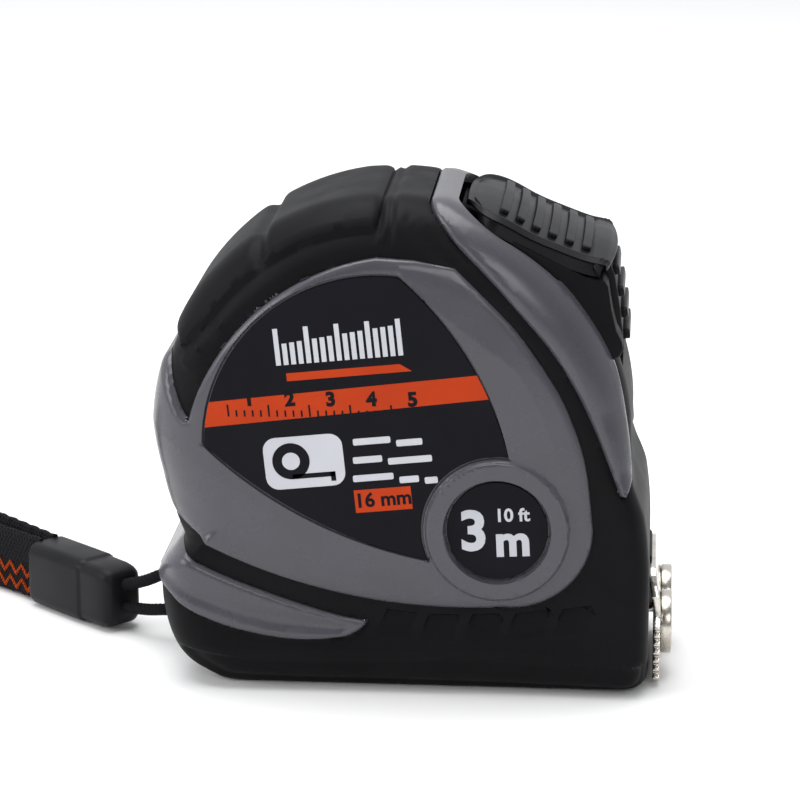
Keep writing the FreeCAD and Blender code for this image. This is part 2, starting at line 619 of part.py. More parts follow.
# --- lanyard: thin cord, ferrule, flat strap -----------------------------------------------------
FERRULE_FRONT = Vector(-36.0, 5.2, 0)
FERRULE_REAR = Vector(-48.6, 16.8, 0)
CORD_ROUTE = [(-36.9, 6.0, 5.8), (-33.4, 2.9, 7.2), (-29.6, 0.4, 9.75), (-23.75, 0.0, 9.75),
              (-23.75, 0.0, 4.65), (-29.6, 0.2, 4.65), (-33.2, 2.6, 3.6), (-36.8, 5.9, 3.0)]
STRAP_ROUTE = [(-48.9, 15.5), (-57.5, 23.2), (-71, 31.5), (-88, 35.5), (-108, 34), (-128, 36), (-146, 42),
               (-157, 51), (-159, 61), (-149, 67), (-132, 65.5), (-112, 60), (-93, 53.5), (-74, 44),
               (-58.5, 28.5), (-47.3, 17.2)]


def smooth_path(points):
    """Straight runs joined by tangent arcs, each as large as its two runs allow."""
    edges = []
    radii = []
    start = points[0]
    for before, corner, after in zip(points, points[1:], points[2:]):
        arriving = (corner - before).normalize()
        leaving = (after - corner).normalize()
        turn = arriving.getAngle(leaving)
        reach = 0.45 * min(corner.distanceToPoint(before), corner.distanceToPoint(after))
        radius = reach / math.tan(turn / 2)
        enter = corner - arriving * reach
        leave = corner + leaving * reach
        inward = (leaving - arriving).normalize()
        middle = corner + inward * (radius / math.cos(turn / 2) - radius)
        edges.append(Part.LineSegment(start, enter).toShape())
        edges.append(Part.Arc(enter, middle, leave).toShape())
        radii.append(radius)
        start = leave
    edges.append(Part.LineSegment(start, points[-1]).toShape())
    return Part.Wire(edges), radii


def swept(label, path, section, area):
    solid = path.makePipeShell([section], True, False)
    error = solid.Volume / (area * path.Length) - 1
    print(f"{label}: length {path.Length:.1f} mm, volume off by {100 * error:.2f} %")
    if abs(error) > 0.02:
        raise RuntimeError(f"{label}: the sweep lost its section")
    item = doc.addObject("Part::Feature", label)
    item.Shape = solid
    return keep(label, item)


def make_lanyard():
    """The pin in the rear recess, the thin cord looped round it, the ferrule and the wrist strap."""
    end = "dims.recess_half + 2"
    keep("lanyard_pin", rod("lanyard_pin", "dims.pin_radius", "dims.pin_x", "dims.pin_z", f"-({end})", end))
    radius = size("cord_diameter") / 2
    points = [Vector(*point) for point in CORD_ROUTE]
    path, radii = smooth_path(points)
    print("lanyard cord radii", [round(r, 1) for r in radii])
    circle = Part.Wire(Part.makeCircle(radius, points[0], points[1] - points[0]))
    swept("lanyard_cord", path, circle, math.pi * radius ** 2)
    thick, wide = size("strap_thick"), size("strap_wide")
    points = [Vector(x, y, wide / 2) for x, y in STRAP_ROUTE]
    path, radii = smooth_path(points)
    print("strap radii", [round(r, 1) for r in radii])
    along = (points[1] - points[0]).normalize()
    across = along.cross(Vector(0, 0, 1)) * (thick / 2)
    up = Vector(0, 0, wide / 2)
    corners = [points[0] + across + up, points[0] - across + up, points[0] - across - up,
               points[0] + across - up]
    swept("wrist_strap", path, Part.makePolygon(corners + corners[:1]), thick * wide)
    axis = FERRULE_FRONT - FERRULE_REAR
    ferrule = doc.addObject("Part::Box", "ferrule_box")
    bind(ferrule, Width="dims.ferrule_wide", Height="dims.ferrule_high")
    ferrule.Length = axis.Length
    across = Vector(0, 0, 1).cross(axis).normalize() * (size("ferrule_wide") / 2)
    ferrule.Placement = Placement(FERRULE_REAR - across, Rotation(Vector(1, 0, 0), axis))
    doc.recompute()
    rounding = doc.addObject("Part::Fillet", "lanyard_ferrule")
    rounding.Base = ferrule
    rounding.Edges = [(n, size("ferrule_round"), size("ferrule_round")) for n in range(1, 13)]
    return keep("lanyard_ferrule", rounding)


def main():
    for side in (LEFT, RIGHT):
        make_shell(side)
        make_jacket(side)
        make_labels(side)
    make_case_screws()
    make_post()
    make_spool()
    make_power_spring()
    make_blade()
    make_hook()
    make_mouth()
    make_lock()
    make_clip()
    make_lanyard()
    doc.recompute()
    failed = [item.Name for item in doc.Objects if {"Invalid", "Error"} & set(item.State)]
    failed += [item.Label for item in subparts if item.Shape.isNull() or not item.Shape.isValid()]
    if failed:
        raise RuntimeError("failed objects: " + ", ".join(failed))
    os.makedirs("parts", exist_ok=True)
    for item in subparts:
        item.Shape.exportStep(f"parts/{item.Label}.step")
        print(f"{item.Label:20s} {len(item.Shape.Solids)} solid(s) {item.Shape.Volume:10.1f} mm3")


main()
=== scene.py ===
"""Looks for a pocket tape measure in a rubber-jacketed case, built round its CAD frame.

Lengths are written in millimetres and turned to metres where a mesh is made.  +X points to the
blade's mouth, -Y to the left side of the case, +Z up, and the base stands on z = 0.
"""
import math
import bmesh
import bpy
import numpy as np
from mathutils import Matrix, Vector


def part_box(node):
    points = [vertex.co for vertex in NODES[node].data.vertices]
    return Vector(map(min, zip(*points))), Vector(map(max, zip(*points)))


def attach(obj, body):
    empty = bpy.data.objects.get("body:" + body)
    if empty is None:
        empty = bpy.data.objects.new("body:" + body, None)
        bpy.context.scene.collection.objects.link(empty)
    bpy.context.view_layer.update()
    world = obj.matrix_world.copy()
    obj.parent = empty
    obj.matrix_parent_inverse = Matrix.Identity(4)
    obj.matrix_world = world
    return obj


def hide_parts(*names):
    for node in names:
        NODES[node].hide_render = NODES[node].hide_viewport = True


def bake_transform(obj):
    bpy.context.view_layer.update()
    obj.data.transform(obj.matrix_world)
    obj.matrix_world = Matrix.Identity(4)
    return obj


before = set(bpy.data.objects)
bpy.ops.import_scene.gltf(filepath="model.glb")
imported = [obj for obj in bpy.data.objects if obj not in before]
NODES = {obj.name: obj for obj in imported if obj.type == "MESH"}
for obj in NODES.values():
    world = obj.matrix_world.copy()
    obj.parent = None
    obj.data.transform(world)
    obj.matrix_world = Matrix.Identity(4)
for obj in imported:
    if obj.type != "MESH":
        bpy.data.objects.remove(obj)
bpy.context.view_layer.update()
MM = 0.001
LEFT, RIGHT = -1, 1
SIDE_NAMES = {LEFT: "left", RIGHT: "right"}


def link(item):
    bpy.context.scene.collection.objects.link(item)
    return item


def node_mm(name):
    """Lowest and highest corner of a CAD node, in millimetres."""
    low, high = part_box(name)
    return low / MM, high / MM


# --- camera --------------------------------------------------------------------------------------
def add_camera():
    data = bpy.data.cameras.new("camera")
    data.sensor_width = 36
    data.lens = 149.3
    data.clip_start = 0.01
    camera = link(bpy.data.objects.new("camera", data))
    camera.location = Vector((31.75, -403.5, 144.2)) * MM
    aim = Vector((0.5, 0, 33.4)) * MM
    camera.rotation_euler = (aim - camera.location).to_track_quat("-Z", "Y").to_euler()
    bpy.context.scene.camera = camera


add_camera()


# --- materials -----------------------------------------------------------------------------------
def linear(colour):
    """Scene-linear value of an sRGB hex colour."""
    channels = [int(colour[i:i + 2], 16) / 255 for i in (1, 3, 5)]
    return tuple(c / 12.92 if c <= 0.04045 else ((c + 0.055) / 1.055) ** 2.4 for c in channels) + (1.0,)


def add(tree, kind, inputs=None, **settings):
    """Add a node, set its properties, and set or link its inputs."""
    made = tree.nodes.new(kind)
    for name, value in settings.items():
        setattr(made, name, value)
    for name, value in (inputs or {}).items():
        if isinstance(value, bpy.types.NodeSocket):
            tree.links.new(value, made.inputs[name])
        else:
            made.inputs[name].default_value = value
    return made


def new_material(name, colour, roughness, **shader_inputs):
    """A principled material with constants set on the shader; returns material, tree and shader."""
    made = bpy.data.materials.new(name)
    made.use_nodes = True
    made.diffuse_color = linear(colour)
    tree = made.node_tree
    shader = tree.nodes["Principled BSDF"]
    shader.inputs["Base Color"].default_value = linear(colour)
    shader.inputs["Roughness"].default_value = roughness
    for key, value in shader_inputs.items():
        shader.inputs[key.replace("_", " ")].default_value = value
    return made, tree, shader


def speckle(tree, vector, size_mm, detail=2.0, roughness=0.5):
    """Noise whose grains are about size_mm across."""
    return add(tree, "ShaderNodeTexNoise", {"Vector": vector, "Scale": 1 / (size_mm * MM), "Detail": detail,
                                            "Roughness": roughness}).outputs["Fac"]


def vary_colour(tree, shader, fac, colour, other, low=0.3, high=0.7):
    ramp = add(tree, "ShaderNodeMapRange", {"Value": fac, "From Min": low, "From Max": high},
               interpolation_type="SMOOTHSTEP")
    mix = add(tree, "ShaderNodeMix", {"Factor": ramp.outputs["Result"]}, data_type="RGBA")
    mix.inputs[6].default_value = linear(colour)
    mix.inputs[7].default_value = linear(other)
    tree.links.new(mix.outputs[2], shader.inputs["Base Color"])
    return mix.outputs[2]


def vary_roughness(tree, shader, fac, low, high):
    ramp = add(tree, "ShaderNodeMapRange", {"Value": fac, "From Min": 0.2, "From Max": 0.8, "To Min": low,
                                            "To Max": high}, interpolation_type="SMOOTHSTEP")
    tree.links.new(ramp.outputs["Result"], shader.inputs["Roughness"])


def raise_surface(tree, shader, height, depth_mm):
    bump = add(tree, "ShaderNodeBump", {"Height": height, "Distance": depth_mm * MM, "Strength": 1.0})
    tree.links.new(bump.outputs["Normal"], shader.inputs["Normal"])


def moulded(name, colour, other, roughness, spread, grain_mm, grain_depth, **shader_inputs):
    """Injection-moulded plastic or rubber: spark-eroded grain and faint drift in colour and gloss."""
    made, tree, shader = new_material(name, colour, roughness, **shader_inputs)
    place = add(tree, "ShaderNodeTexCoord").outputs["Object"]
    drift = speckle(tree, place, 9.0)
    vary_colour(tree, shader, drift, colour, other)
    handled = speckle(tree, place, 4.0, detail=4.0)
    vary_roughness(tree, shader, handled, roughness - spread, roughness + spread)
    raise_surface(tree, shader, speckle(tree, place, grain_mm, detail=1.0), grain_depth)
    return made


def rolled_metal(name, colour, other, roughness, spread, line_mm, depth, axis="X"):
    """Sheet metal with fine drawn lines along one axis, under a plated or bare surface."""
    made, tree, shader = new_material(name, colour, roughness, Metallic=1.0)
    place = add(tree, "ShaderNodeTexCoord").outputs["Object"]
    squeeze = {"X": (0.05, 1, 1), "Y": (1, 0.05, 1), "Z": (1, 1, 0.05)}[axis]
    drawn = add(tree, "ShaderNodeMapping", {"Vector": place, "Scale": squeeze}).outputs["Vector"]
    lines = speckle(tree, drawn, line_mm, detail=3.0)
    vary_colour(tree, shader, speckle(tree, place, 3.0), colour, other)
    vary_roughness(tree, shader, lines, roughness - spread, roughness + spread)
    raise_surface(tree, shader, lines, depth)
    return made


# ABS, injection moulded in a satin tool: a cool grey that mirrors soft windows along its edges
GREY_ABS = moulded("moulded_abs_grey", "#46454c", "#444349", 0.27, 0.015, 0.22, 0.004, IOR=1.53,
                   Specular_IOR_Level=0.42)
# thermoplastic rubber moulded over the shell: near black, matte, with a soft bloom at its edges
RUBBER = moulded("overmoulded_rubber_black", "#0e0e10", "#111113", 0.50, 0.04, 0.16, 0.010, IOR=1.5,
                 Specular_IOR_Level=0.08)
# printed polyester film under a satin varnish
LABEL_FILM = moulded("label_film_black", "#131318", "#15151a", 0.36, 0.03, 0.5, 0.002, IOR=1.5,
                     Specular_IOR_Level=0.07)
ORANGE_INK = moulded("printed_ink_orange", "#b8390a", "#b03508", 0.40, 0.03, 0.4, 0.002,
                    Specular_IOR_Level=0.15)
WHITE_INK = moulded("printed_ink_white", "#c6c7cd", "#c0c1c8", 0.42, 0.03, 0.4, 0.002,
                   Specular_IOR_Level=0.15)
# acetal: the lock is a little lighter and glossier than the rubber beside it
LOCK_PLASTIC = moulded("moulded_acetal_charcoal", "#151517", "#131315", 0.40, 0.03, 0.2, 0.005, IOR=1.48,
                       Specular_IOR_Level=0.12)
REEL_PLASTIC = moulded("moulded_acetal_black", "#242426", "#1f1f21", 0.45, 0.05, 0.3, 0.006, IOR=1.48)
GUIDE_PLASTIC = moulded("moulded_acetal_slippery", "#3a3a3d", "#333336", 0.33, 0.03, 0.3, 0.003, IOR=1.48)
FERRULE_PLASTIC = moulded("moulded_nylon_black", "#131316", "#161619", 0.42, 0.04, 0.25, 0.008, IOR=1.53,
                          Specular_IOR_Level=0.12)
# nickel over steel: bright and faintly warm, with the stamping's drawn lines still in it
NICKEL = rolled_metal("nickel_plated_steel", "#cfcbc4", "#bdb8b0", 0.22, 0.06, 0.25, 0.004, axis="Z")
CUP_NICKEL = rolled_metal("nickel_plated_cup", "#c9c4bb", "#b5afa6", 0.26, 0.06, 0.3, 0.004, axis="Y")
SCREW_STEEL = rolled_metal("zinc_plated_screw_steel", "#a9a9ac", "#8f8f94", 0.32, 0.08, 0.2, 0.004)
SPRING_STEEL = rolled_metal("blued_spring_steel", "#6d7076", "#595d66", 0.35, 0.08, 0.3, 0.004)
CLIP_STEEL = rolled_metal("nickel_plated_clip_steel", "#c4c2bf", "#aeaba7", 0.25, 0.06, 0.35, 0.004, axis="Z")
MAGNET = rolled_metal("sintered_magnet", "#8d8b88", "#7b7976", 0.38, 0.08, 0.15, 0.006)
# enamelled steel strip: warm yellow, smooth, with black print
BLADE_YELLOW = moulded("enamelled_blade_yellow", "#e9b916", "#e2b012", 0.30, 0.03, 0.8, 0.002)
BLADE_BLACK = moulded("blade_ink_black", "#161616", "#1c1c1c", 0.35, 0.03, 0.4, 0.002)
BLADE_RED = moulded("blade_ink_red", "#b0231b", "#a82019", 0.35, 0.03, 0.4, 0.002)


def braided(name, colour, other, thread_mm):
    """Braided polyester yarn: over-and-under bumps along the piece's own UV, a painted highlight that
    lightens the colour on the raised tops of the weave, and a faint sheen.
    """
    made, tree, shader = new_material(name, colour, 0.8, Specular_IOR_Level=0.12)
    place = add(tree, "ShaderNodeUVMap", uv_map="weave").outputs["UV"]
    turned = [add(tree, "ShaderNodeMapping", {"Vector": place, "Rotation": (0, 0, math.radians(angle)),
                                              "Scale": (1 / thread_mm, 1 / thread_mm, 1)}).outputs["Vector"]
              for angle in (32, -32)]
    waves = [add(tree, "ShaderNodeTexWave", {"Vector": vector, "Scale": 0.5, "Distortion": 0.6,
                                             "Detail": 1.0}, bands_direction="X").outputs["Fac"]
             for vector in turned]
    weave = add(tree, "ShaderNodeMath", {0: waves[0], 1: waves[1]}, operation="MAXIMUM").outputs[0]
    fibre = speckle(tree, add(tree, "ShaderNodeTexCoord").outputs["Object"], 0.12, detail=3.0)
    height = add(tree, "ShaderNodeMath", {0: fibre, 1: 0.25, 2: weave}, operation="MULTIPLY_ADD").outputs[0]
    # painted highlight: the second colour lies where the weave is raised, on the tops of the bumps
    vary_colour(tree, shader, weave, colour, other, 0.2, 1.0)
    raise_surface(tree, shader, height, 0.18)
    return made


# each second colour is the painted highlight on the raised tops of the weave
STRAP_BLACK = braided("braided_polyester_black", "#08080a", "#19191c", 0.9)
STRAP_ORANGE = braided("braided_polyester_orange", "#9a3208", "#bd4a12", 0.6)
CORD_BLACK = braided("braided_cord_black", "#09090b", "#1b1b1e", 0.45)


# --- floor and light -----------------------------------------------------------------------------
def add_stage():
    mesh = bpy.data.meshes.new("floor")
    reach = 3.0
    mesh.from_pydata([(-reach, -reach, 0), (reach, -reach, 0), (reach, reach, 0), (-reach, reach, 0)], [],
                     [(0, 1, 2, 3)])
    floor = link(bpy.data.objects.new("floor", mesh))
    floor.location.z = -0.0002
    paper, _, _ = new_material("seamless_paper", "#f4f4f4", 0.9)
    mesh.materials.append(paper)
    world = bpy.data.worlds.new("studio")
    bpy.context.scene.world = world
    world.use_nodes = True
    tree = world.node_tree
    background = tree.nodes["Background"]
    # white walls behind and above, a darker room on the camera's side
    direction = add(tree, "ShaderNodeTexCoord").outputs["Generated"]
    axes = add(tree, "ShaderNodeSeparateXYZ", {0: direction})
    back = add(tree, "ShaderNodeMapRange", {"Value": axes.outputs["Y"], "From Min": -0.75, "From Max": 0.25,
                                            "To Min": 0.16, "To Max": 0.95}, interpolation_type="SMOOTHSTEP")
    tree.links.new(back.outputs["Result"], background.inputs["Strength"])
    background.inputs["Color"].default_value = (0.97, 0.98, 1.0, 1.0)
    lamps = (("top_softbox", (-60, 40, 620), (0, 0, 20), 520, 4.0),
             ("left_softbox", (-560, -260, 330), (0, 0, 30), 360, 1.9),
             ("front_fill", (260, -700, 420), (0, 0, 25), 300, 1.3))
    for name, place, aim, wide, energy in lamps:
        data = bpy.data.lights.new(name, "AREA")
        data.shape = "SQUARE"
        data.size = wide * MM
        data.energy = energy
        lamp = link(bpy.data.objects.new(name, data))
        lamp.location = Vector(place) * MM
        lamp.rotation_euler = (Vector(aim) * MM - lamp.location).to_track_quat("-Z", "Y").to_euler()
    bpy.context.scene.view_settings.view_transform = "Standard"


add_stage()


# --- meshes --------------------------------------------------------------------------------------
def build(name, points, faces, *materials):
    """An object from points in millimetres."""
    mesh = bpy.data.meshes.new(name)
    mesh.from_pydata((np.asarray(points, float) * MM).tolist(), [], [tuple(f) for f in faces])
    for item in materials:
        mesh.materials.append(item)
    mesh.shade_smooth()
    return link(bpy.data.objects.new(name, mesh))


def smooth_by_angle(item, degrees=35):
    item.data.shade_smooth()
    item.data.set_sharp_from_angle(angle=math.radians(degrees))
    return item


def modify(item, kind, **settings):
    """Put one modifier on the piece and apply it."""
    modifier = item.modifiers.new(kind.lower(), kind)
    for name, value in settings.items():
        setattr(modifier, name, value)
    return bake(item)


def bake(item):
    """Turn the piece with its modifiers into one plain mesh."""
    shown = item.evaluated_get(bpy.context.evaluated_depsgraph_get())
    mesh = bpy.data.meshes.new_from_object(shown)
    item.modifiers.clear()
    old = item.data
    item.data = mesh
    mesh.name = item.name
    if old.users == 0:
        bpy.data.meshes.remove(old)
    return item


def thicken(item, wall_mm):
    return modify(item, "SOLIDIFY", thickness=wall_mm * MM, offset=-1.0, use_even_offset=False)


def outward(item):
    """Merge doubles and turn every face of a closed piece outwards."""
    work = bmesh.new()
    work.from_mesh(item.data)
    bmesh.ops.remove_doubles(work, verts=work.verts, dist=1e-6)
    bmesh.ops.recalc_face_normals(work, faces=work.faces)
    work.to_mesh(item.data)
    work.free()
    return item


def joined(name, items):
    """One mesh object from several, keeping each one's materials."""
    work = bmesh.new()
    materials = []
    for item in items:
        start = len(work.faces)
        work.from_mesh(item.data)
        work.faces.ensure_lookup_table()
        slots = []
        for used in item.data.materials:
            if used not in materials:
                materials.append(used)
            slots.append(materials.index(used))
        for face in work.faces[start:]:
            face.material_index = slots[face.material_index]
    mesh = bpy.data.meshes.new(name)
    work.to_mesh(mesh)
    work.free()
    for used in materials:
        mesh.materials.append(used)
    for item in items:
        old = item.data
        bpy.data.objects.remove(item)
        bpy.data.meshes.remove(old)
    return link(bpy.data.objects.new(name, mesh))


def slab(name, outline, y_low, y_high, material, bevel=0.15, segments=2):
    """A plate with the given side view, from one depth to another, with softened edges."""
    count = len(outline)
    points = [(x, y, z) for y in (y_low, y_high) for x, z in outline]
    faces = [tuple(range(count))[::-1], tuple(range(count, 2 * count))]
    faces += [(k, (k + 1) % count, (k + 1) % count + count, k + count) for k in range(count)]
    item = outward(build(name, points, faces, material))
    if bevel:
        modify(item, "BEVEL", width=bevel * MM, segments=segments, limit_method="ANGLE",
               angle_limit=math.radians(30))
    return smooth_by_angle(item)


def ring_faces(rings, count):
    """Side faces between neighbouring rings of a closed tube, and its two ends."""
    sides = [(r * count + c, r * count + (c + 1) % count, (r + 1) * count + (c + 1) % count,
              (r + 1) * count + c) for r in range(rings - 1) for c in range(count)]
    last = (rings - 1) * count
    return sides, [tuple(range(count))[::-1], tuple(range(last, last + count))]


def circle(radius, count=12):
    return [(radius * math.cos(a), radius * math.sin(a)) for a in np.linspace(0, 2 * math.pi, count, False)]


def split_across(work, places, along):
    """Cut a bmesh at each place along an axis, so that it can bend there."""
    for place in places:
        everything = work.verts[:] + work.edges[:] + work.faces[:]
        bmesh.ops.bisect_plane(work, geom=everything, plane_co=[part * place * MM for part in along],
                               plane_no=along)


def settle(piece, body, slot, *nodes):
    """Put a finished piece on its body and hide the CAD nodes it stands for; the slot is not used."""
    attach(piece, body)
    if nodes:
        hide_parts(*nodes)
    return piece


def box_outline(x_low, z_low, x_high, z_high, corner=0.0):
    if not corner:
        return [(x_low, z_low), (x_high, z_low), (x_high, z_high), (x_low, z_high)]
    made = []
    for x, z, start in ((x_high - corner, z_low + corner, -90), (x_high - corner, z_high - corner, 0),
                        (x_low + corner, z_high - corner, 90), (x_low + corner, z_low + corner, 180)):
        for angle in range(start, start + 91, 15):
            turn = math.radians(angle)
            made.append((x + corner * math.cos(turn), z + corner * math.sin(turn)))
    return made


# --- cords ---------------------------------------------------------------------------------------
CORD_ROUTE = [(-36.9, 6.0, 5.8), (-33.4, 2.9, 7.2), (-29.6, 0.4, 9.75), (-23.75, 0, 9.75), (-23.75, 0, 4.65),
              (-29.6, 0.2, 4.65), (-33.2, 2.6, 3.6), (-36.8, 5.9, 3.0)]
STRAP_ROUTE = [(-48.9, 15.5), (-57.5, 23.2), (-71, 31.5), (-88, 35.5), (-108, 34), (-128, 36),
               (-146, 42), (-157, 51), (-159, 61), (-149, 67), (-132, 65.5), (-112, 60),
               (-93, 53.5), (-74, 44), (-58.5, 28.5), (-47.3, 17.2)]
CORD_RADIUS, STRAND_RISE, STRAND_TWIST = 0.76, 0.05, 2.2
STRAP_Z, STRAP_WIDE, STRAP_THICK = 4.5, 9.0, 1.6
SCALLOP = 2.5
ZIGZAG_ROWS, ZIGZAG_RISE, YARN_RADIUS = (-2.75, -0.75), 0.7, 0.3


def follow(route, step_mm):
    """Evenly spaced points, in millimetres, of the smooth spline that a cord lies along."""
    curve = bpy.data.curves.new("route", "CURVE")
    curve.dimensions = "3D"
    curve.resolution_u = 24
    spline = curve.splines.new("NURBS")
    spline.points.add(len(route) - 1)
    for point, place in zip(spline.points, route):
        point.co = (*(Vector(place) * MM), 1)
    spline.order_u = 3
    spline.use_endpoint_u = True
    item = link(bpy.data.objects.new("route", curve))
    mesh = bpy.data.meshes.new_from_object(item.evaluated_get(bpy.context.evaluated_depsgraph_get()))
    line = np.array([vert.co[:] for vert in mesh.vertices]) / MM
    bpy.data.objects.remove(item)
    bpy.data.meshes.remove(mesh)
    along = np.concatenate([[0], np.cumsum(np.linalg.norm(np.diff(line, axis=0), axis=1))])
    even = np.linspace(0, along[-1], max(2, round(along[-1] / step_mm)) + 1)
    return np.stack([np.interp(even, along, line[:, k]) for k in range(3)], 1)


def frames(line, up):
    """Side and up directions at each point of a line, turning no more than the line does."""
    step = np.gradient(line, axis=0)
    step /= np.linalg.norm(step, axis=1)[:, None]
    sides, ups = [], []
    up = np.array(up, float)
    for along in step:
        up = up - along * (up @ along)
        up /= np.linalg.norm(up)
        sides.append(np.cross(along, up))
        ups.append(up)
    return np.array(sides), np.array(ups)


def sweep(name, line, section, up, material):
    """A closed piece along a line; section gives its (side, up) outline at a length along it."""
    sides, ups = frames(line, up)
    along = np.concatenate([[0], np.cumsum(np.linalg.norm(np.diff(line, axis=0), axis=1))])
    rings = [np.asarray(section(s), float) for s in along]
    count = len(rings[0])
    points = np.vstack([p + ring[:, :1] * n + ring[:, 1:] * u
                        for p, ring, n, u in zip(line, rings, sides, ups)])
    quads, ends = ring_faces(len(line), count)
    item = build(name, points, quads + ends, material)
    closed = np.vstack([rings[0], rings[0][:1]])
    around = np.concatenate([[0], np.cumsum(np.linalg.norm(np.diff(closed, axis=0), axis=1))])
    weave = item.data.uv_layers.new(name="weave").data
    for face in item.data.polygons[:len(quads)]:
        row, column = divmod(face.index, count)
        for loop, (r, c) in zip(face.loop_indices, ((row, column), (row, column + 1), (row + 1, column + 1),
                                                    (row + 1, column))):
            weave[loop].uv = (along[r], around[c])
    return smooth_by_angle(outward(item), 50)


def make_thin_cord():
    """A round braided cord looped through the case: its plaited strands stand out slightly."""
    line = follow(CORD_ROUTE, 0.2)

    def section(s):
        around = np.linspace(0, 2 * math.pi, 24, False)
        radius = CORD_RADIUS + STRAND_RISE * np.cos(4 * (around + s * STRAND_TWIST))
        return np.stack([radius * np.cos(around), radius * np.sin(around)], 1)

    cord = sweep("thin_cord", line, section, (0, 0, 1), CORD_BLACK)
    return settle(cord, "case", "cord_black", "lanyard_cord"), line


def make_strap():
    """A flat braid on its edge, scalloped along both edges, with two orange zigzags woven in."""
    line = follow([(x, y, STRAP_Z) for x, y in STRAP_ROUTE], 0.4)
    half, thick = STRAP_WIDE / 2, STRAP_THICK / 2

    def section(s):
        tall = half - 0.16 + 0.16 * abs(math.sin(math.pi * s / SCALLOP))
        face = []
        for v in np.linspace(-0.97, 0.97, 11):
            swell = 0.86 - 0.10 * math.cos(2 * math.pi * (s / SCALLOP + 2 * v))
            face.append((thick * swell * (1 - abs(v) ** 5) ** 0.4, v * tall))
        return [(0, -tall)] + face + [(0, tall)] + [(-n, v) for n, v in reversed(face)]

    strap = sweep("strap", line, section, (0, 0, 1), STRAP_BLACK)
    sides, ups = frames(line, (0, 0, 1))
    pieces = [strap]
    for face in (-1, 1):
        for middle in ZIGZAG_ROWS:
            zigzag = []
            for k in range(3, len(line) - 3, 3):
                rise = middle + (ZIGZAG_RISE if (k // 3) % 2 else -ZIGZAG_RISE)
                zigzag.append(line[k] + face * sides[k] * (thick - 0.14) + ups[k] * rise)
            pieces.append(sweep("zigzag", np.array(zigzag), lambda s: circle(YARN_RADIUS, 6), (0, 0, 1),
                                STRAP_ORANGE))
    strap = joined("wrist_strap_braid", pieces)
    return settle(strap, "case", "strap_braid", "wrist_strap"), line


def make_ferrule():
    """Crimped sleeve that joins the thin cord to the strap: narrower towards the case."""
    start, end = np.array((-36.0, 5.2, 4.3)), np.array((-48.6, 16.8, 4.3))
    long = np.linalg.norm(end - start)
    stations = [0, 0.25, 0.7, 1.4, 2.4, 5.6, 5.8, 6.1, 6.5, 11, long - 0.8, long - 0.35, long - 0.1, long]
    scale = [0.62, 0.76, 0.86, 0.91, 0.94, 0.95, 0.94, 0.99, 1.0, 1.0, 1.0, 0.97, 0.93, 0.87]
    line = np.array([start + (end - start) * s / long for s in stations])
    sleeve = sweep("sleeve", line, lambda s: np.array(box_outline(-3.2, -4.3, 3.2, 4.3, 1.5))
                   * np.interp(s, stations, scale), (0, 0, 1), FERRULE_PLASTIC)
    return settle(sleeve, "case", "ferrule_plastic", "lanyard_ferrule")


def add_cords():
    cord, cord_line = make_thin_cord()
    strap, strap_line = make_strap()
    sleeve = make_ferrule()


add_cords()


# --- curves in the side plane --------------------------------------------------------------------
def arc_points(start, middle, end, count=24):
    """Points of the circle through three, without the last one."""
    (ax, az), (bx, bz), (cx, cz) = start, middle, end
    d = 2 * (ax * (bz - cz) + bx * (cz - az) + cx * (az - bz))
    a2, b2, c2 = ax ** 2 + az ** 2, bx ** 2 + bz ** 2, cx ** 2 + cz ** 2
    centre = np.array([(a2 * (bz - cz) + b2 * (cz - az) + c2 * (az - bz)) / d,
                       (a2 * (cx - bx) + b2 * (ax - cx) + c2 * (bx - ax)) / d])
    angles = [math.atan2(p[1] - centre[1], p[0] - centre[0]) for p in (start, middle, end)]
    turn = 2 * math.pi
    sweep = (angles[2] - angles[0]) % turn
    if (angles[1] - angles[0]) % turn > sweep:
        sweep -= turn
    radius = math.dist(start, centre)
    steps = angles[0] + sweep * np.arange(count) / count
    return [tuple(centre + radius * np.array([math.cos(s), math.sin(s)])) for s in steps]


def smooth_line(points, closed=False, steps=8):
    """A Catmull-Rom line through the points."""
    spans = len(points) if closed else len(points) - 1
    made = []
    for k in range(spans):
        picks = [k + n for n in (-1, 0, 1, 2)]
        if closed:
            picks = [n % len(points) for n in picks]
        p0, p1, p2, p3 = (np.array(points[min(max(n, 0), len(points) - 1)], float) for n in picks)
        for t in np.arange(steps) / steps:
            made.append(0.5 * (2 * p1 + (p2 - p0) * t + (2 * p0 - 5 * p1 + 4 * p2 - p3) * t ** 2
                               + (3 * p1 - p0 - 3 * p2 + p3) * t ** 3))
    if not closed:
        made.append(np.array(points[-1], float))
    return np.array(made)


def reach(flat, line, closed=True):
    """Distance in the side plane from each point to a line; negative inside a closed one."""
    line = np.asarray(line, float)
    starts = line if closed else line[:-1]
    ends = np.roll(line, -1, 0) if closed else line[1:]
    nearest = np.full(len(flat), np.inf)
    inside = np.zeros(len(flat), bool)
    for start, end in zip(starts, ends):
        along = end - start
        off = flat - start
        t = np.clip(off @ along / max(along @ along, 1e-12), 0, 1)
        nearest = np.minimum(nearest, ((off - t[:, None] * along) ** 2).sum(1))
        if closed:
            crosses = (start[1] > flat[:, 1]) != (end[1] > flat[:, 1])
            rise = along[1] if abs(along[1]) > 1e-12 else 1e-12
            inside ^= crosses & (flat[:, 0] < start[0] + off[:, 1] * along[0] / rise)
    return np.where(inside, -1, 1) * np.sqrt(nearest)


def ease(t):
    t = np.clip(t, 0, 1)
    return t * t * (3 - 2 * t)


def rounded(depth, radius):
    """Height from 0 to 1 of a rounded edge, at a distance inside the outline."""
    return np.sqrt(1 - (1 - np.clip(depth / radius, 0, 1)) ** 2)


def ridge(distance, width):
    return np.exp(-(distance / width) ** 2)


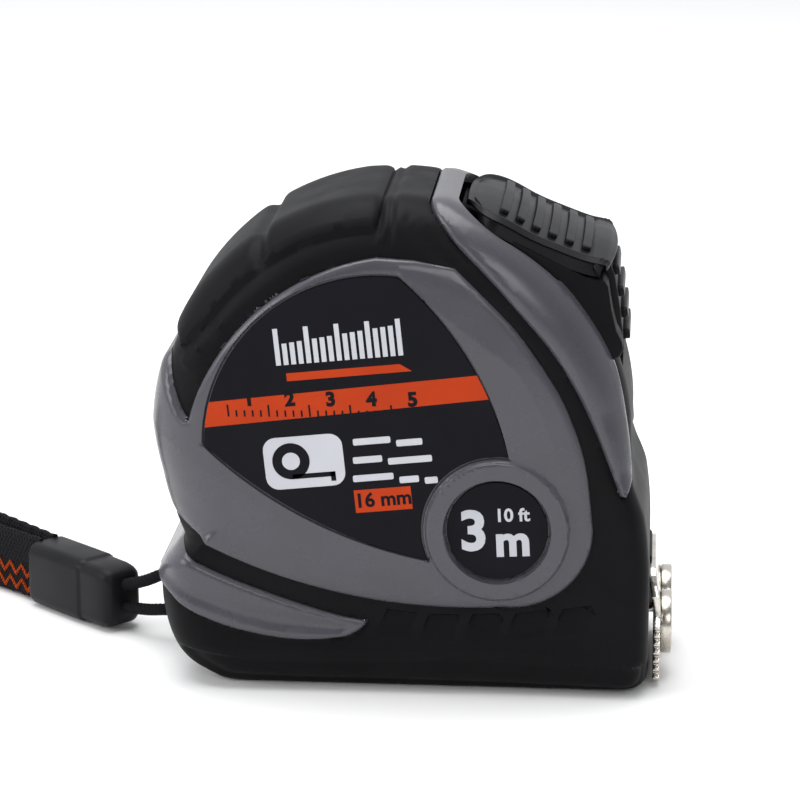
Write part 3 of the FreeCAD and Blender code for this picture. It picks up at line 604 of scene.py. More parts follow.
# --- case skin -----------------------------------------------------------------------------------
# The skin of one half is a net of lines round the drum's axis: crown, rounded rim, flat side.  It is
# cut along each outline that shows on it, pushed in or out, and parted into grey and black pieces.
CENTRE = (0.5, 31.7)
DRUM = 30.2
HALF = 16.5
RIM_DEPTH = 8.0
NET_ANGLES, NET_CROWN, NET_RIM, NET_SIDE = 600, 7, 13, 40
SNAP = 0.03
SKIN_WALL = 1.2
RUBBER_DROP, EDGE_DROP, LABEL_DROP = 0.8, 0.85, 0.5
BADGE = (13.7, 21.5)
BADGE_RADIUS = 6.2
SCREW_PLACES = [(-14.0, 52.5), (12.0, 53.5), (-18.5, 6.0), (21.0, 16.0)]
WELL_RADIUS = 2.4

PANEL_TOP = arc_points((-24.7, 34.5), (-15.5, 48.9), (-1.2, 55.6)) + [(-1.2, 55.6)]
PANEL_RIGHT = [(8.4, 54.3), (12.2, 50.4), (15.9, 46.4), (19.1, 41.9), (21.6, 37.8), (23.4, 33.3),
               (24.6, 28.5), (25.4, 21.5)]
PANEL = (PANEL_TOP + [(3.4, 55.3)] + [tuple(p) for p in smooth_line(PANEL_RIGHT, steps=4)[:-1]]
         + arc_points((25.4, 21.5), (22.6, 14.6), (14.5, 11.5))
         + arc_points((14.5, 11.5), (-7, 13.1), (-26, 20.6))
         + [(-28.3, 21.8), (-36, 24.5), (-36, 47.5), (-28.4, 47.0)]
         + arc_points((-28.1, 44.5), (-27.5, 40.0), (-24.9, 34.4), 8))
STRIPE = np.vstack([smooth_line([(5.4, 72), (5.3, 66), (4.6, 63.2), (5.4, 60.8), (7.9, 57.9), (12.2, 53.5),
                                 (16.2, 48.9), (20.3, 44), (23.2, 39.4), (25.6, 34.5), (28.1, 28.3),
                                 (29, 25.9)]),
                    smooth_line([(29.6, 25.7), (30.3, 27.4), (30.3, 29.5), (29.7, 34.6), (28.4, 41),
                                 (26.6, 45.1), (23.3, 50.1), (20, 53.6), (14, 57.9), (9.4, 61.2), (8.9, 63),
                                 (12, 72)])])
LOW_STRIPE = np.vstack([smooth_line([(-36, 21.5), (-28.6, 18.6), (-25.6, 17.3), (-20.5, 14.9), (-15.6, 13),
                                     (-10.6, 11.3), (-5.7, 9.9), (-2.3, 9.3)]),
                        smooth_line([(-2.5, 8.9), (-3.7, 7.9), (-5.7, 7.1), (-10.7, 6.7), (-15.6, 7.2),
                                     (-20.6, 8.4), (-25.6, 10.6), (-28.2, 12.3), (-36, 16)])])
LOW_CREASE = smooth_line([(-27.5, 14.0), (-23.1, 12.0), (-16.9, 9.9), (-8.1, 8.6), (-4.2, 8.3)])
FLAT_ZONE = smooth_line([(1.6, 54.4), (9.0, 46.9), (16.3, 41), (20.6, 32.1), (22.3, 23.2), (22.0, 18.2),
                         (18.4, 13.6), (13.7, 12.4), (8.4, 13.0), (1.8, 15), (-8.1, 18.6), (-16.7, 24.9),
                         (-22.8, 28.6), (-29.5, 33), (-45, 40), (-25, 75), (0, 70)], closed=True)
PADS = np.vstack([smooth_line([(-25.8, 43.0), (-22.2, 46.8), (-19.3, 50.3), (-16.3, 52.9), (-14.2, 54.5),
                               (-10.4, 56.7), (-6.2, 58.0), (-2.1, 58.6), (-1.2, 59.4)]),
                  [(-0.9, 61), (-0.9, 75), (-45, 75), (-45, 49.5), (-28.6, 47.6), (-27.2, 45.3)]])
LIP = smooth_line([(-25.1, 41.3), (-23, 44), (-20.1, 46.9), (-17.3, 49.7), (-14.2, 52.3), (-10.9, 54.3),
                   (-6.2, 56.1), (-2.4, 56.8), (-0.9, 57.3), (-0.2, 58.8), (-0.1, 61), (-0.1, 75)])
FOLD = smooth_line([(2.6, 60.0), (4.4, 58.2), (6.3, 56.0), (8.2, 54.6)])
GROOVE_1 = -15.8
SKIRT_CELLS = [(0.1, 4.0, 10.9, 10.5), (5.3, 9.3, 10.4, 10.4), (10.7, 14.7, 10.5, 10.7),
               (16.0, 20.5, 10.7, 11.4), (21.8, 25.9, 11.4, 12.1)]


def label_outline(grow):
    """Outline of the main label, or of its recess when grown."""
    ring = 9.4 - grow
    rim = [(BADGE[0] + ring * math.cos(math.radians(a)), BADGE[1] + ring * math.sin(math.radians(a)))
           for a in (82, 145, 206)]
    left, top = (-22.3 - grow, 31.7), (1.5, 53.1 + grow)
    return (arc_points(left, (-16.2 - grow, 46.7 + grow), top) + arc_points(top, (9.9 + grow, 43.2), rim[0])
            + arc_points(*rim) + arc_points(rim[2], (-8.0, 21.9 - grow), left))


RECESS = label_outline(0.2)


def outline_radius(angles):
    """How far the middle of the case reaches from the drum's axis in each direction."""
    nose = [(32.4 - 0.009 * max(0, z - 14) ** 2, z) for z in np.linspace(30, 2, 30)]
    corner = arc_points((32.4, 1.8), (31.87, 0.53), (30.6, 0), 8)
    base = [(x, 0) for x in np.linspace(30.6, -21, 80)]
    heel = arc_points((-18.0, 0), (-25.8, 3.1), (-29.2, 9.6)) + [(-29.4, 12.5), (-29.0, 14.4), (-28.0, 16.3)]
    line = np.array(nose + corner + base + heel)
    around = np.unwrap(np.arctan2(line[:, 1] - CENTRE[1], line[:, 0] - CENTRE[0]))
    far = np.hypot(line[:, 0] - CENTRE[0], line[:, 1] - CENTRE[1])
    order = np.argsort(around)
    around, far = around[order], far[order]
    turn = 2 * math.pi
    wrapped = around[0] + (angles - around[0]) % turn
    foot = np.where(wrapped <= around[-1], np.interp(wrapped, around, far), 0)
    radius = np.maximum(DRUM, foot)
    window = np.exp(-(np.arange(-6, 7) / 2.2) ** 2)
    padded = np.concatenate([radius[-6:], radius, radius[:6]])
    return np.convolve(padded, window / window.sum(), "valid")


def rim_round(angles):
    """How far in the rounded rim reaches: wide on the drum, tight along the base and the nose."""
    degrees = np.degrees(angles) % 360
    return np.interp(degrees, [0, 10, 30, 150, 190, 215, 235, 250, 305, 322, 335, 348, 360],
                     [6.5, 8.5, 9, 9, 9, 6.5, 4.5, 3.6, 3.4, 2.6, 2.3, 3.6, 6.5])


def base_net():
    """Points, outward directions and triangles of the plain left skin."""
    angles = 2 * math.pi * np.arange(NET_ANGLES) / NET_ANGLES
    far, reach_in = outline_radius(angles), rim_round(angles)
    bend = np.minimum(reach_in, RIM_DEPTH)
    out = np.stack([np.cos(angles), np.sin(angles)], 1)
    rows, turns = [], []
    for s in np.linspace(0, 1, NET_CROWN, endpoint=False):
        rows.append((far, s * (HALF - bend)))
        turns.append(0.0)
    for s in np.linspace(0, math.pi / 2, NET_RIM):
        rows.append((far - reach_in + reach_in * math.cos(s), HALF - bend + bend * math.sin(s)))
        turns.append(s)
    for s in np.linspace(0, 1, NET_SIDE + 1)[1:]:
        rows.append(((far - reach_in) * (1 - s) + 0.4 * s, np.full(NET_ANGLES, HALF)))
        turns.append(math.pi / 2)
    points = np.stack([np.stack([CENTRE[0] + r * out[:, 0], -y, CENTRE[1] + r * out[:, 1]], 1)
                       for r, y in rows])
    normals = np.stack([np.stack([math.cos(t) * out[:, 0], np.full(NET_ANGLES, -math.sin(t)),
                                  math.cos(t) * out[:, 1]], 1) for t in turns])
    grid = np.arange(len(rows) * NET_ANGLES).reshape(len(rows), NET_ANGLES)
    a, b = grid[:-1], grid[1:]
    c, d = np.roll(b, -1, 1), np.roll(a, -1, 1)
    triangles = np.concatenate([np.stack(half, -1).reshape(-1, 3) for half in ((a, c, b), (a, d, c))])
    centre = len(rows) * NET_ANGLES
    last = grid[-1]
    fan = np.stack([last, np.roll(last, -1), np.full(NET_ANGLES, centre)], -1)
    points = np.vstack([points.reshape(-1, 3), [CENTRE[0], -HALF, CENTRE[1]]])
    normals = np.vstack([normals.reshape(-1, 3), [0, -1, 0]])
    return points, normals, np.concatenate([triangles, fan])


def cut_level(net, field, level):
    """Split the triangles where the field passes a level, so that the line becomes edges."""
    points, normals, triangles = net
    value = np.where(np.abs(field - level) < SNAP, 0.0, field - level)
    sign = np.sign(value).astype(int)
    corner = sign[triangles]
    crossing = (corner.min(1) < 0) & (corner.max(1) > 0)
    made, ends, shares = {}, [], []

    def middle(p, q):
        key = (p, q) if p < q else (q, p)
        if key not in made:
            made[key] = len(points) + len(ends)
            ends.append(key)
            shares.append(value[key[0]] / (value[key[0]] - value[key[1]]))
        return made[key]

    pieces = []
    for p, q, r in triangles[crossing].tolist():
        if 0 in (sign[p], sign[q], sign[r]):
            while sign[p]:
                p, q, r = q, r, p
            m = middle(q, r)
            pieces += [(p, q, m), (p, m, r)]
        else:
            while sign[p] in (sign[q], sign[r]):
                p, q, r = q, r, p
            m, n = middle(p, q), middle(p, r)
            pieces += [(p, m, n), (m, q, r), (m, r, n)]
    if not ends:
        return net, field
    ends, shares = np.array(ends), np.array(shares)[:, None]
    added = field[ends[:, 0]] * (1 - shares[:, 0]) + field[ends[:, 1]] * shares[:, 0]
    between = [part[ends[:, 0]] * (1 - shares) + part[ends[:, 1]] * shares for part in (points, normals)]
    between[1] /= np.linalg.norm(between[1], axis=1)[:, None]
    net = (np.vstack([points, between[0]]), np.vstack([normals, between[1]]),
           np.vstack([triangles[~crossing], np.array(pieces)]))
    return net, np.concatenate([field, added])


def cut_along(net, measure, *levels):
    """Cut the net along several levels of one measure of its points."""
    field = measure(net[0])
    for level in levels:
        net, field = cut_level(net, field, level)
    return net


def side_view(points):
    return points[:, [0, 2]]


def grey_depth(points):
    """Depth inside the nearest grey outline; negative on the rubber."""
    flat = side_view(points)
    return -np.minimum.reduce([reach(flat, line) for line in (PANEL, STRIPE, LOW_STRIPE)])


def box_reach(u, v, half_u, half_v, corner):
    """Distance to a rectangle with rounded corners about the origin; negative inside."""
    du, dv = np.abs(u) - half_u + corner, np.abs(v) - half_v + corner
    return np.hypot(np.maximum(du, 0), np.maximum(dv, 0)) + np.minimum(np.maximum(du, dv), 0) - corner


def opening_reach(points):
    """Distance to the nearest opening: bay of the lock, mouth of the blade, seat of the lanyard."""
    x, y, z = points.T
    rest = np.maximum(box_reach(x - 28.4, y, 20.2, 12.9, 6.0), 52.2 - z)
    leg = np.maximum.reduce([np.abs(y) - 7.5, 40.6 - z, 20 - x, z - 56])
    mouth = np.maximum(box_reach(y, z - 9.0, 9.4, 3.9, 0.8), 26 - x)
    seat = np.maximum(box_reach(y, z - 7.1, 6.0, 4.3, 1.0), x + 24)
    return np.minimum.reduce([rest, leg, mouth, seat])


def badge_distance(points):
    return np.hypot(points[:, 0] - BADGE[0], points[:, 2] - BADGE[1])


def skirt_cells(points):
    """For the row of slanted cells along the skirt: depth inside a cell, and how far below its top."""
    x, z = points[:, 0], points[:, 2]
    inside = np.full(len(points), -9.0)
    drop = np.zeros(len(points))
    for left, right, top_left, top_right in SKIRT_CELLS:
        top = np.interp(x, [left, right], [top_left, top_right])
        fall = top - z
        lean = 0.42 * fall
        depth = np.minimum.reduce([x - left + lean, right - 0.25 * fall - x, fall, 3.4 - fall])
        drop = np.where(depth > inside, fall, drop)
        inside = np.maximum(inside, depth)
    return inside, drop


def skin_height(points):
    """How far the surface stands out from the plain skin, grey and black each with its own relief."""
    flat = side_view(points)
    x, y, z = points.T
    foot = ease((z - 2.0) / 7.0)
    front = ease((x - 26.5) / 4.0) * ease((27 - z) / 5)
    black = -RUBBER_DROP * foot * (1 - front)
    pads = -reach(flat, PADS)
    groove = 1 - 0.9 * ridge(x - GROOVE_1, 0.8) * ease(pads / 0.6)
    swell = 0.2 * ease(pads / 5)
    black += (0.75 * rounded(pads, 1.2) + swell) * groove
    black += 0.45 * ridge(reach(flat, LIP, closed=False), 0.5)
    third = ease((x - 0.1) / 1.2) * ease((z - 55.6) / 4.5) * (x < 12)
    black += 0.75 * third - 0.25 * ridge(reach(flat, FOLD, closed=False), 0.5) * (x < 12)
    side = ease((np.abs(y) - 12.5) / 2.0)
    wave = 4.7 + 0.25 * np.sin(x / 6.5)
    black -= side * 1.0 * ease((wave - z) / 1.1)
    cells, drop = skirt_cells(points)
    black -= side * 0.5 * ease(cells / 0.25) * (1 - drop / 3.5)
    black -= 0.12 * ridge(grey_depth(points), 0.3)

    panel = -reach(flat, PANEL)
    slope = 0.13 * np.maximum(reach(flat, FLAT_ZONE), 0)
    grey = -EDGE_DROP + (EDGE_DROP - np.minimum(slope, 0.7)) * rounded(panel, 1.0)
    stripe = -reach(flat, STRIPE)
    crowned = 0.55 * rounded(stripe, 0.5) + 0.65 * rounded(stripe, 2.8)
    grey = np.where(stripe > -2 * SNAP, crowned - EDGE_DROP, grey)
    low = -reach(flat, LOW_STRIPE)
    valley = 0.35 * ridge(reach(flat, LOW_CREASE, closed=False), 0.9) * ease(low / 1.2)
    grey = np.where(low > -2 * SNAP, -0.75 * foot + 0.7 * rounded(low, 0.9) - valley, grey)
    ring = badge_distance(points)
    wall = 0.6 * ease((9.0 - ring) / 0.45) * ease((ring - 6.35) / 0.3)
    on_side = np.abs(y) > HALF - 1.5
    grey = np.where(on_side & (ring < 9.2), wall + grey * (1 - ease((9.0 - ring) / 0.45)), grey)
    grey = np.where(on_side & (ring < 6.35), -LABEL_DROP, grey)
    recess = reach(flat, RECESS)
    in_recess = on_side & (recess < 0.12) & (ring > 9.0)
    grey = np.where(in_recess, -LABEL_DROP * ease((0.12 - recess) / 0.12), grey)
    return np.where(grey_depth(points) > -SNAP - 1e-6, grey, black)


def well_distance(points):
    return np.minimum.reduce([np.hypot(points[:, 0] - x, points[:, 2] - z) for x, z in SCREW_PLACES])


def left_net():
    net = cut_along(base_net(), grey_depth, 0.0, 1.0, 0.45, 0.15, -0.3)
    net = cut_along(net, lambda p: reach(side_view(p), RECESS), 0.45, 0.12, 0.0, -0.35)
    net = cut_along(net, badge_distance, 9.4, 9.0, 8.55, 6.9, 6.65, 6.35, 6.1)
    net = cut_along(net, lambda p: -reach(side_view(p), PADS), 0.0, 0.45, 1.3)
    net = cut_along(net, lambda p: reach(side_view(p), FLAT_ZONE), 0.0)
    net = cut_along(net, lambda p: skirt_cells(p)[0], 0.0, 0.25)
    return cut_along(net, opening_reach, 0.0)


def parted(name, net, keep, material, wall_mm):
    """A closed piece from the net's triangles that are kept."""
    points, _, triangles = net
    triangles = triangles[keep]
    used, index = np.unique(triangles, return_inverse=True)
    item = build(name, points[used], index.reshape(-1, 3), material)
    smooth_by_angle(thicken(item, wall_mm), 50)
    return item


def make_case():
    """Shell and jacket of both halves; the right one has the wells that its screws sit in."""
    left = left_net()
    lift = skin_height(left[0])
    for side in (LEFT, RIGHT):
        points, normals, triangles = left
        height = lift
        if side == RIGHT:
            flip = np.array([1, -1, 1])
            net = (points * flip, normals * flip, triangles[:, ::-1])
            points, normals, triangles = net = cut_along(net, well_distance, WELL_RADIUS)
            height = skin_height(points * flip)
        middle = points[triangles].mean(1)
        open_here = opening_reach(middle) < 0
        if side == RIGHT:
            open_here |= (well_distance(middle) < WELL_RADIUS) & (middle[:, 1] > 8)
        grey = grey_depth(middle) > 0
        net = (points + normals * height[:, None], normals, triangles)
        name = SIDE_NAMES[side]
        for kind, keep, material, slot in (("shell_", grey, GREY_ABS, "abs_grey"),
                                           ("jacket_", ~grey, RUBBER, "rubber_black")):
            piece = parted(kind + "skin_" + name, net, keep & ~open_here, material, SKIN_WALL)
            settle(piece, "case", slot, kind + name)


make_case()


# --- labels --------------------------------------------------------------------------------------
# Print is set in the label's own axes: across to the reader's right, up, about the label's middle.
PRINT_MIDDLE = (-5.0, 34.0)
PRINT_TILT = math.radians(6.0)
FILM_Y = 16.3
INK = 0.02


def clip_between(outline, low, high, tilt):
    """The part of an outline between two parallel lines that climb at the tilt."""
    normal = np.array([-math.sin(tilt), math.cos(tilt)])
    for sign, limit in ((1, low), (-1, high)):
        kept = []
        for p, q in zip(outline, outline[1:] + outline[:1]):
            p, q = np.array(p), np.array(q)
            a, b = sign * (p @ normal - limit), sign * (q @ normal - limit)
            if a >= 0:
                kept.append(tuple(p))
            if a * b < 0:
                kept.append(tuple(p + (q - p) * a / (a - b)))
        outline = kept
    return outline


def round_outline(x, z, radius, count=64):
    return [(x + across, z + up) for across, up in circle(radius, count)]


def lettering(text, size_mm, weight, material):
    """Flat figures as a mesh in the side plane, centred on the origin, facing the reader at -Y."""
    curve = bpy.data.curves.new("figures", "FONT")
    curve.body = text
    curve.size = size_mm * MM
    curve.offset = weight * MM
    curve.extrude = INK / 2 * MM
    curve.resolution_u = 4
    curve.align_x = "CENTER"
    curve.align_y = "CENTER"
    item = link(bpy.data.objects.new("figures", curve))
    mesh = bpy.data.meshes.new_from_object(item.evaluated_get(bpy.context.evaluated_depsgraph_get()))
    bpy.data.objects.remove(item)
    mesh.materials.clear()
    mesh.materials.append(material)
    mesh.transform(Matrix.Rotation(math.pi / 2, 4, "X"))
    return link(bpy.data.objects.new("figures", mesh))


class Print:
    """Ink on one side's label: every shape is given as the reader sees it."""

    def __init__(self, side, middle, tilt):
        self.side, self.middle, self.tilt = side, middle, tilt
        self.shapes = []

    def place(self, item, across, up, layer):
        """Move a shape drawn about the origin, facing -Y, to its place on the film."""
        x = self.middle[0] - self.side * across
        spin = Matrix.Rotation(0 if self.side == LEFT else math.pi, 4, "Z")
        turn = Matrix.Rotation(-self.tilt, 4, "Y")
        depth = self.side * (FILM_Y + INK * layer)
        item.data.transform(Matrix.Translation(Vector((x, depth, self.middle[1] + up)) * MM) @ spin @ turn)
        self.shapes.append(item)

    def shape(self, outline, across, up, material, layer=1):
        self.place(slab("ink", outline, -INK / 2, INK / 2, material, bevel=0), across, up, layer)

    def figures(self, text, size_mm, across, up, material, weight=0.05, layer=1):
        self.place(lettering(text, size_mm, weight, material), across, up, layer)


def film(name, outline, side):
    low, high = sorted((side * (FILM_Y - 0.3), side * FILM_Y))
    return slab(name, outline, low, high, LABEL_FILM, bevel=0.06, segments=1)


def make_main_label(side):
    """Black film with a ruled orange band, a white panel with a round mark, and a size box."""
    outline = label_outline(0)
    shapes = [film("film", outline, side)]
    slope = math.atan2(41.1 - 37.1, 10.8 + 21.7)
    normal = np.array([-math.sin(slope), math.cos(slope)])
    band = clip_between(outline, np.array((-22.1, 33.9)) @ normal, np.array((-21.7, 37.1)) @ normal, slope)
    low, high = sorted((side * (FILM_Y + INK / 2), side * (FILM_Y + 3 * INK / 2)))
    shapes.append(slab("band", band, low, high, ORANGE_INK, bevel=0))
    ink = Print(side, PRINT_MIDDLE, PRINT_TILT)
    # a rising scale in white over an orange wedge
    for k in range(17):
        tall = 4.6 if k % 4 == 0 else 2.6 + 0.08 * k
        ink.shape(box_outline(-0.3, 0, 0.3, tall), -8.0 + 0.93 * k, 7.9 + 0.105 * 0.93 * k, WHITE_INK)
    ink.shape([(-7.3, -0.5), (8.0, -0.5), (6.6, 0.5), (-7.3, 0.5)], 0.2, 7.2, ORANGE_INK)
    # ruled band: marks each millimetre and a figure each ten
    for k in range(28):
        tall = 1.5 if k % 5 == 0 else 0.8
        ink.shape(box_outline(-0.11, 0, 0.11, tall), -14.2 + k, 1.35 + 0.018 * k, LABEL_FILM, layer=2)
    for k in range(5):
        ink.figures(str(k + 1), 2.4, -11.7 + 5.0 * k, 3.55 + 0.09 * k, LABEL_FILM, weight=0.12, layer=2)
    # white panel with a drawn-out tape: a ring with a strip and its hook
    ink.shape(box_outline(-4.9, -3.3, 4.9, 3.3, 1.6), -5.0, -4.2, WHITE_INK)
    ink.shape(round_outline(-1.6, 0.2, 2.3), -5.0, -4.2, LABEL_FILM, layer=2)
    ink.shape(round_outline(-1.6, 0.2, 1.1), -5.0, -4.2, WHITE_INK, layer=3)
    ink.shape(box_outline(-1.6, -2.1, 3.7, -1.5), -5.0, -4.2, LABEL_FILM, layer=2)
    ink.shape(box_outline(3.1, -2.7, 3.7, -1.5), -5.0, -4.2, LABEL_FILM, layer=2)
    # plain rules where small print would be
    for row, lengths in enumerate(((4.6, 3.2), (3.6, 5.4), (5.0, 2.4, 1.6))):
        across = 1.0
        for length in lengths:
            ink.shape(box_outline(0, -0.42, length, 0.42, 0.2), across, -1.6 - 2.33 * row, WHITE_INK)
            across += length + 0.7
    ink.shape(box_outline(-3.5, -1.45, 3.5, 1.45), 4.7, -8.8, ORANGE_INK)
    ink.figures("16 mm", 2.5, 4.7, -8.8, LABEL_FILM, weight=0.07, layer=2)
    name = SIDE_NAMES[side]
    settle(joined("label_" + name, shapes + ink.shapes), "case", "label_print", "main_label_" + name)


def make_badge(side):
    ink = Print(side, BADGE, math.radians(3.0))
    ink.figures("3", 7.0, -2.9, -0.3, WHITE_INK, weight=0.22)
    ink.figures("m", 5.6, 1.9, -1.35, WHITE_INK, weight=0.2)
    ink.figures("10 ft", 2.3, 1.8, 2.0, WHITE_INK, weight=0.06)
    disc = film("disc", round_outline(*BADGE, BADGE_RADIUS), side)
    name = SIDE_NAMES[side]
    settle(joined("badge_" + name, [disc] + ink.shapes), "case", "label_print", "badge_label_" + name)


for half in (LEFT, RIGHT):
    make_main_label(half)
    make_badge(half)


# --- lock ----------------------------------------------------------------------------------------
REST_HALF = node_mm("lock_rocker")[1].y
REST_LINE = smooth_line([(8.9, 59.4), (9.1, 60.2), (9.9, 60.85), (11.2, 61.0), (13.2, 60.5), (15, 59.7),
                         (17.8, 58.2), (21, 56.9), (24, 55.8), (26, 55.35), (26.9, 55.0), (27.35, 54.3),
                         (27.4, 53.4)], steps=9)
CAMBER = 0.93


def make_thumb_rest():
    """A cambered plate with a round rear end, a thin raised rim and a lowered field for the ribs."""
    line = REST_LINE
    step = np.gradient(line, axis=0)
    step /= np.linalg.norm(step, axis=1)[:, None]
    normal = np.stack([-step[:, 1], step[:, 0]], 1)
    tail = np.clip((14.5 - line[:, 0]) / 5.7, 0, 1)
    nose = np.clip((line[:, 0] - 26.0) / 1.6, 0, 1)
    half = REST_HALF * np.sqrt(np.maximum(1 - tail ** 2.6, 0.02)) - 1.0 * (1 - np.sqrt(1 - nose ** 2))
    across = np.concatenate([-np.ones(3), np.linspace(-1, 1, 121), np.ones(3)])
    skirt = np.concatenate([[1.6, 0.9, 0.3], np.zeros(121), [0.3, 0.9, 1.6]])
    tuck = np.concatenate([[0.0, -0.03, -0.05], np.zeros(121), [-0.05, -0.03, 0.0]])
    points = []
    for k, (x, z) in enumerate(line):
        y = half[k] * across
        edge = np.minimum(half[k] - np.abs(y), np.hypot(27.4 - x, 53.4 - z) + 0.2)
        edge = np.minimum(edge, (x - 8.9) * 1.2 + 0.3)
        lift = 0.28 * ridge(edge - 0.95, 0.38) - 0.22 * ease((edge - 1.5) / 0.5) * ease((25.2 - x) / 0.5)
        lift -= 0.35 * (1 - rounded(edge + 0.1, 0.6)) + CAMBER * (y / REST_HALF) ** 2 + skirt
        points.append(np.stack([x + normal[k, 0] * lift, y * (1 + tuck), z + normal[k, 1] * lift], 1))
    rows, columns = len(line), len(across)
    faces = [(r * columns + c, (r + 1) * columns + c, (r + 1) * columns + c + 1, r * columns + c + 1)
             for r in range(rows - 1) for c in range(columns - 1)]
    rest = build("rest", np.vstack(points), faces, LOCK_PLASTIC)
    return smooth_by_angle(thicken(rest, 0.9), 50)


def repeat_tree(name):
    """Copies of one shape, evenly spaced along a guide line and turned with it, made real."""
    tree = bpy.data.node_groups.new(name, "GeometryNodeTree")
    for label, kind in (("Guide", "Geometry"), ("Shape", "Object"), ("Count", "Int"), ("Finish", "Material")):
        tree.interface.new_socket(label, in_out="INPUT", socket_type="NodeSocket" + kind)
    tree.interface.new_socket("Geometry", in_out="OUTPUT", socket_type="NodeSocketGeometry")
    given = add(tree, "NodeGroupInput").outputs
    spaced = add(tree, "GeometryNodeCurveToPoints", {"Curve": given["Guide"], "Count": given["Count"]},
                 mode="COUNT")
    turned = add(tree, "FunctionNodeAlignEulerToVector", {"Vector": spaced.outputs["Tangent"]}, axis="X",
                 pivot_axis="Y")
    shape = add(tree, "GeometryNodeObjectInfo", {"Object": given["Shape"]})
    copies = add(tree, "GeometryNodeInstanceOnPoints", {"Points": spaced.outputs["Points"],
                                                        "Instance": shape.outputs["Geometry"],
                                                        "Rotation": turned.outputs["Rotation"]})
    real = add(tree, "GeometryNodeRealizeInstances", {"Geometry": copies.outputs["Instances"]})
    finish = add(tree, "GeometryNodeSetMaterial", {"Geometry": real.outputs["Geometry"],
                                                   "Material": given["Finish"]})
    add(tree, "NodeGroupOutput", {"Geometry": finish.outputs["Geometry"]})
    return tree


REPEAT = repeat_tree("set_along_line")


def repeated(name, shape, line, count, material):
    """Set a shape, drawn about the origin with its length along Y, along a line of points."""
    curve = bpy.data.curves.new(name, "CURVE")
    curve.dimensions = "3D"
    spline = curve.splines.new("POLY")
    spline.points.add(len(line) - 1)
    for point, place in zip(spline.points, line):
        point.co = (*(Vector(place) * MM), 1)
    guide = link(bpy.data.objects.new(name, curve))
    modifier = guide.modifiers.new("repeat", "NODES")
    modifier.node_group = REPEAT
    values = {"Shape": shape, "Count": count, "Finish": material}
    for socket in REPEAT.interface.items_tree:
        if socket.name in values:
            modifier[socket.identifier] = values[socket.name]
    guide.update_tag()
    bpy.context.view_layer.update()
    mesh = bpy.data.meshes.new_from_object(guide.evaluated_get(bpy.context.evaluated_depsgraph_get()))
    made = link(bpy.data.objects.new(name, mesh))
    bpy.data.objects.remove(guide)
    old = shape.data
    bpy.data.objects.remove(shape)
    bpy.data.meshes.remove(old)
    return made


def rib(name, half_long, wide, high, camber, material):
    """A low bar across the case with round ends, bent to the camber of what it stands on."""
    plan = [(x, y) for x, y in box_outline(-wide / 2, -half_long, wide / 2, half_long, wide / 2 * 0.98)]
    work = bmesh.new()
    base = [work.verts.new((x * MM, y * MM, 0)) for x, y in plan]
    face = work.faces.new(base)
    up = bmesh.ops.extrude_face_region(work, geom=[face])
    for item in up["geom"]:
        if isinstance(item, bmesh.types.BMVert):
            item.co.z += high * MM
    bmesh.ops.recalc_face_normals(work, faces=work.faces)
    mesh = bpy.data.meshes.new(name)
    work.to_mesh(mesh)
    work.free()
    mesh.materials.append(material)
    item = link(bpy.data.objects.new(name, mesh))
    modify(item, "BEVEL", width=0.16 * MM, segments=2, limit_method="ANGLE", angle_limit=math.radians(40))
    cuts = bmesh.new()
    cuts.from_mesh(item.data)
    split_across(cuts, np.linspace(-half_long + 0.8, half_long - 0.8, 9), (0, 1, 0))
    for vert in cuts.verts:
        vert.co.z -= camber * (vert.co.y / (REST_HALF * MM)) ** 2 * MM
    cuts.to_mesh(item.data)
    cuts.free()
    return smooth_by_angle(item, 40)


def make_lock():
    """Rocker: ribbed thumb rest, a leg with four steps in front, and the web round its pin."""
    rest = make_thumb_rest()
    rib_line = [(x, 0, np.interp(x, REST_LINE[:, 0], REST_LINE[:, 1]) - 0.45)
                for x in np.linspace(13.9, 23.9, 30)]
    ribs = repeated("ribs", rib("rib", 8.9, 1.15, 0.75, CAMBER, LOCK_PLASTIC), rib_line, 6, LOCK_PLASTIC)
    leg = slab("leg", [(24.8, 53.6), (26.8, 53.4), (27.5, 51.5), (28.2, 47.5), (28.6, 44.2), (28.3, 42.3),
                       (27.3, 42.4), (25.9, 51.4)], -7.0, 7.0, LOCK_PLASTIC, bevel=0.35)
    steps = repeated("steps", rib("step", 5.9, 1.25, 1.0, 0.0, LOCK_PLASTIC),
                     [(27.0, 0, 51.9), (28.0, 0, 47.5), (28.4, 0, 43.9)], 4, LOCK_PLASTIC)
    web = slab("web", [(20.2, 50.2), (23.9, 50.0), (25.9, 52.0), (25.0, 54.9), (19.5, 56.6)], -4.5, 4.5,
               LOCK_PLASTIC)
    settle(joined("rocker", [rest, ribs, leg, steps, web]), "lock", "lock_plastic", "lock_rocker")


make_lock()

HOUSING = [(15, 57.0), (20, 54.6), (24, 52.7), (26.2, 52.3), (26.7, 51.5), (27.2, 48.5), (27.8, 46.0),
           (28.5, 44.6), (28.7, 43.6), (28.2, 42.8), (27.2, 42.2), (25, 43), (20, 47), (15, 51.5)]
BAY_TAIL = [(8.3, 59.0), (10.6, 57.5), (14.4, 55.9)]
BAY_FLOOR = [(13.6, 56.2), (17.4, 54.2), (18, 51), (18, 44.2), (24.4, 40.0), (28.0, 40.0)]


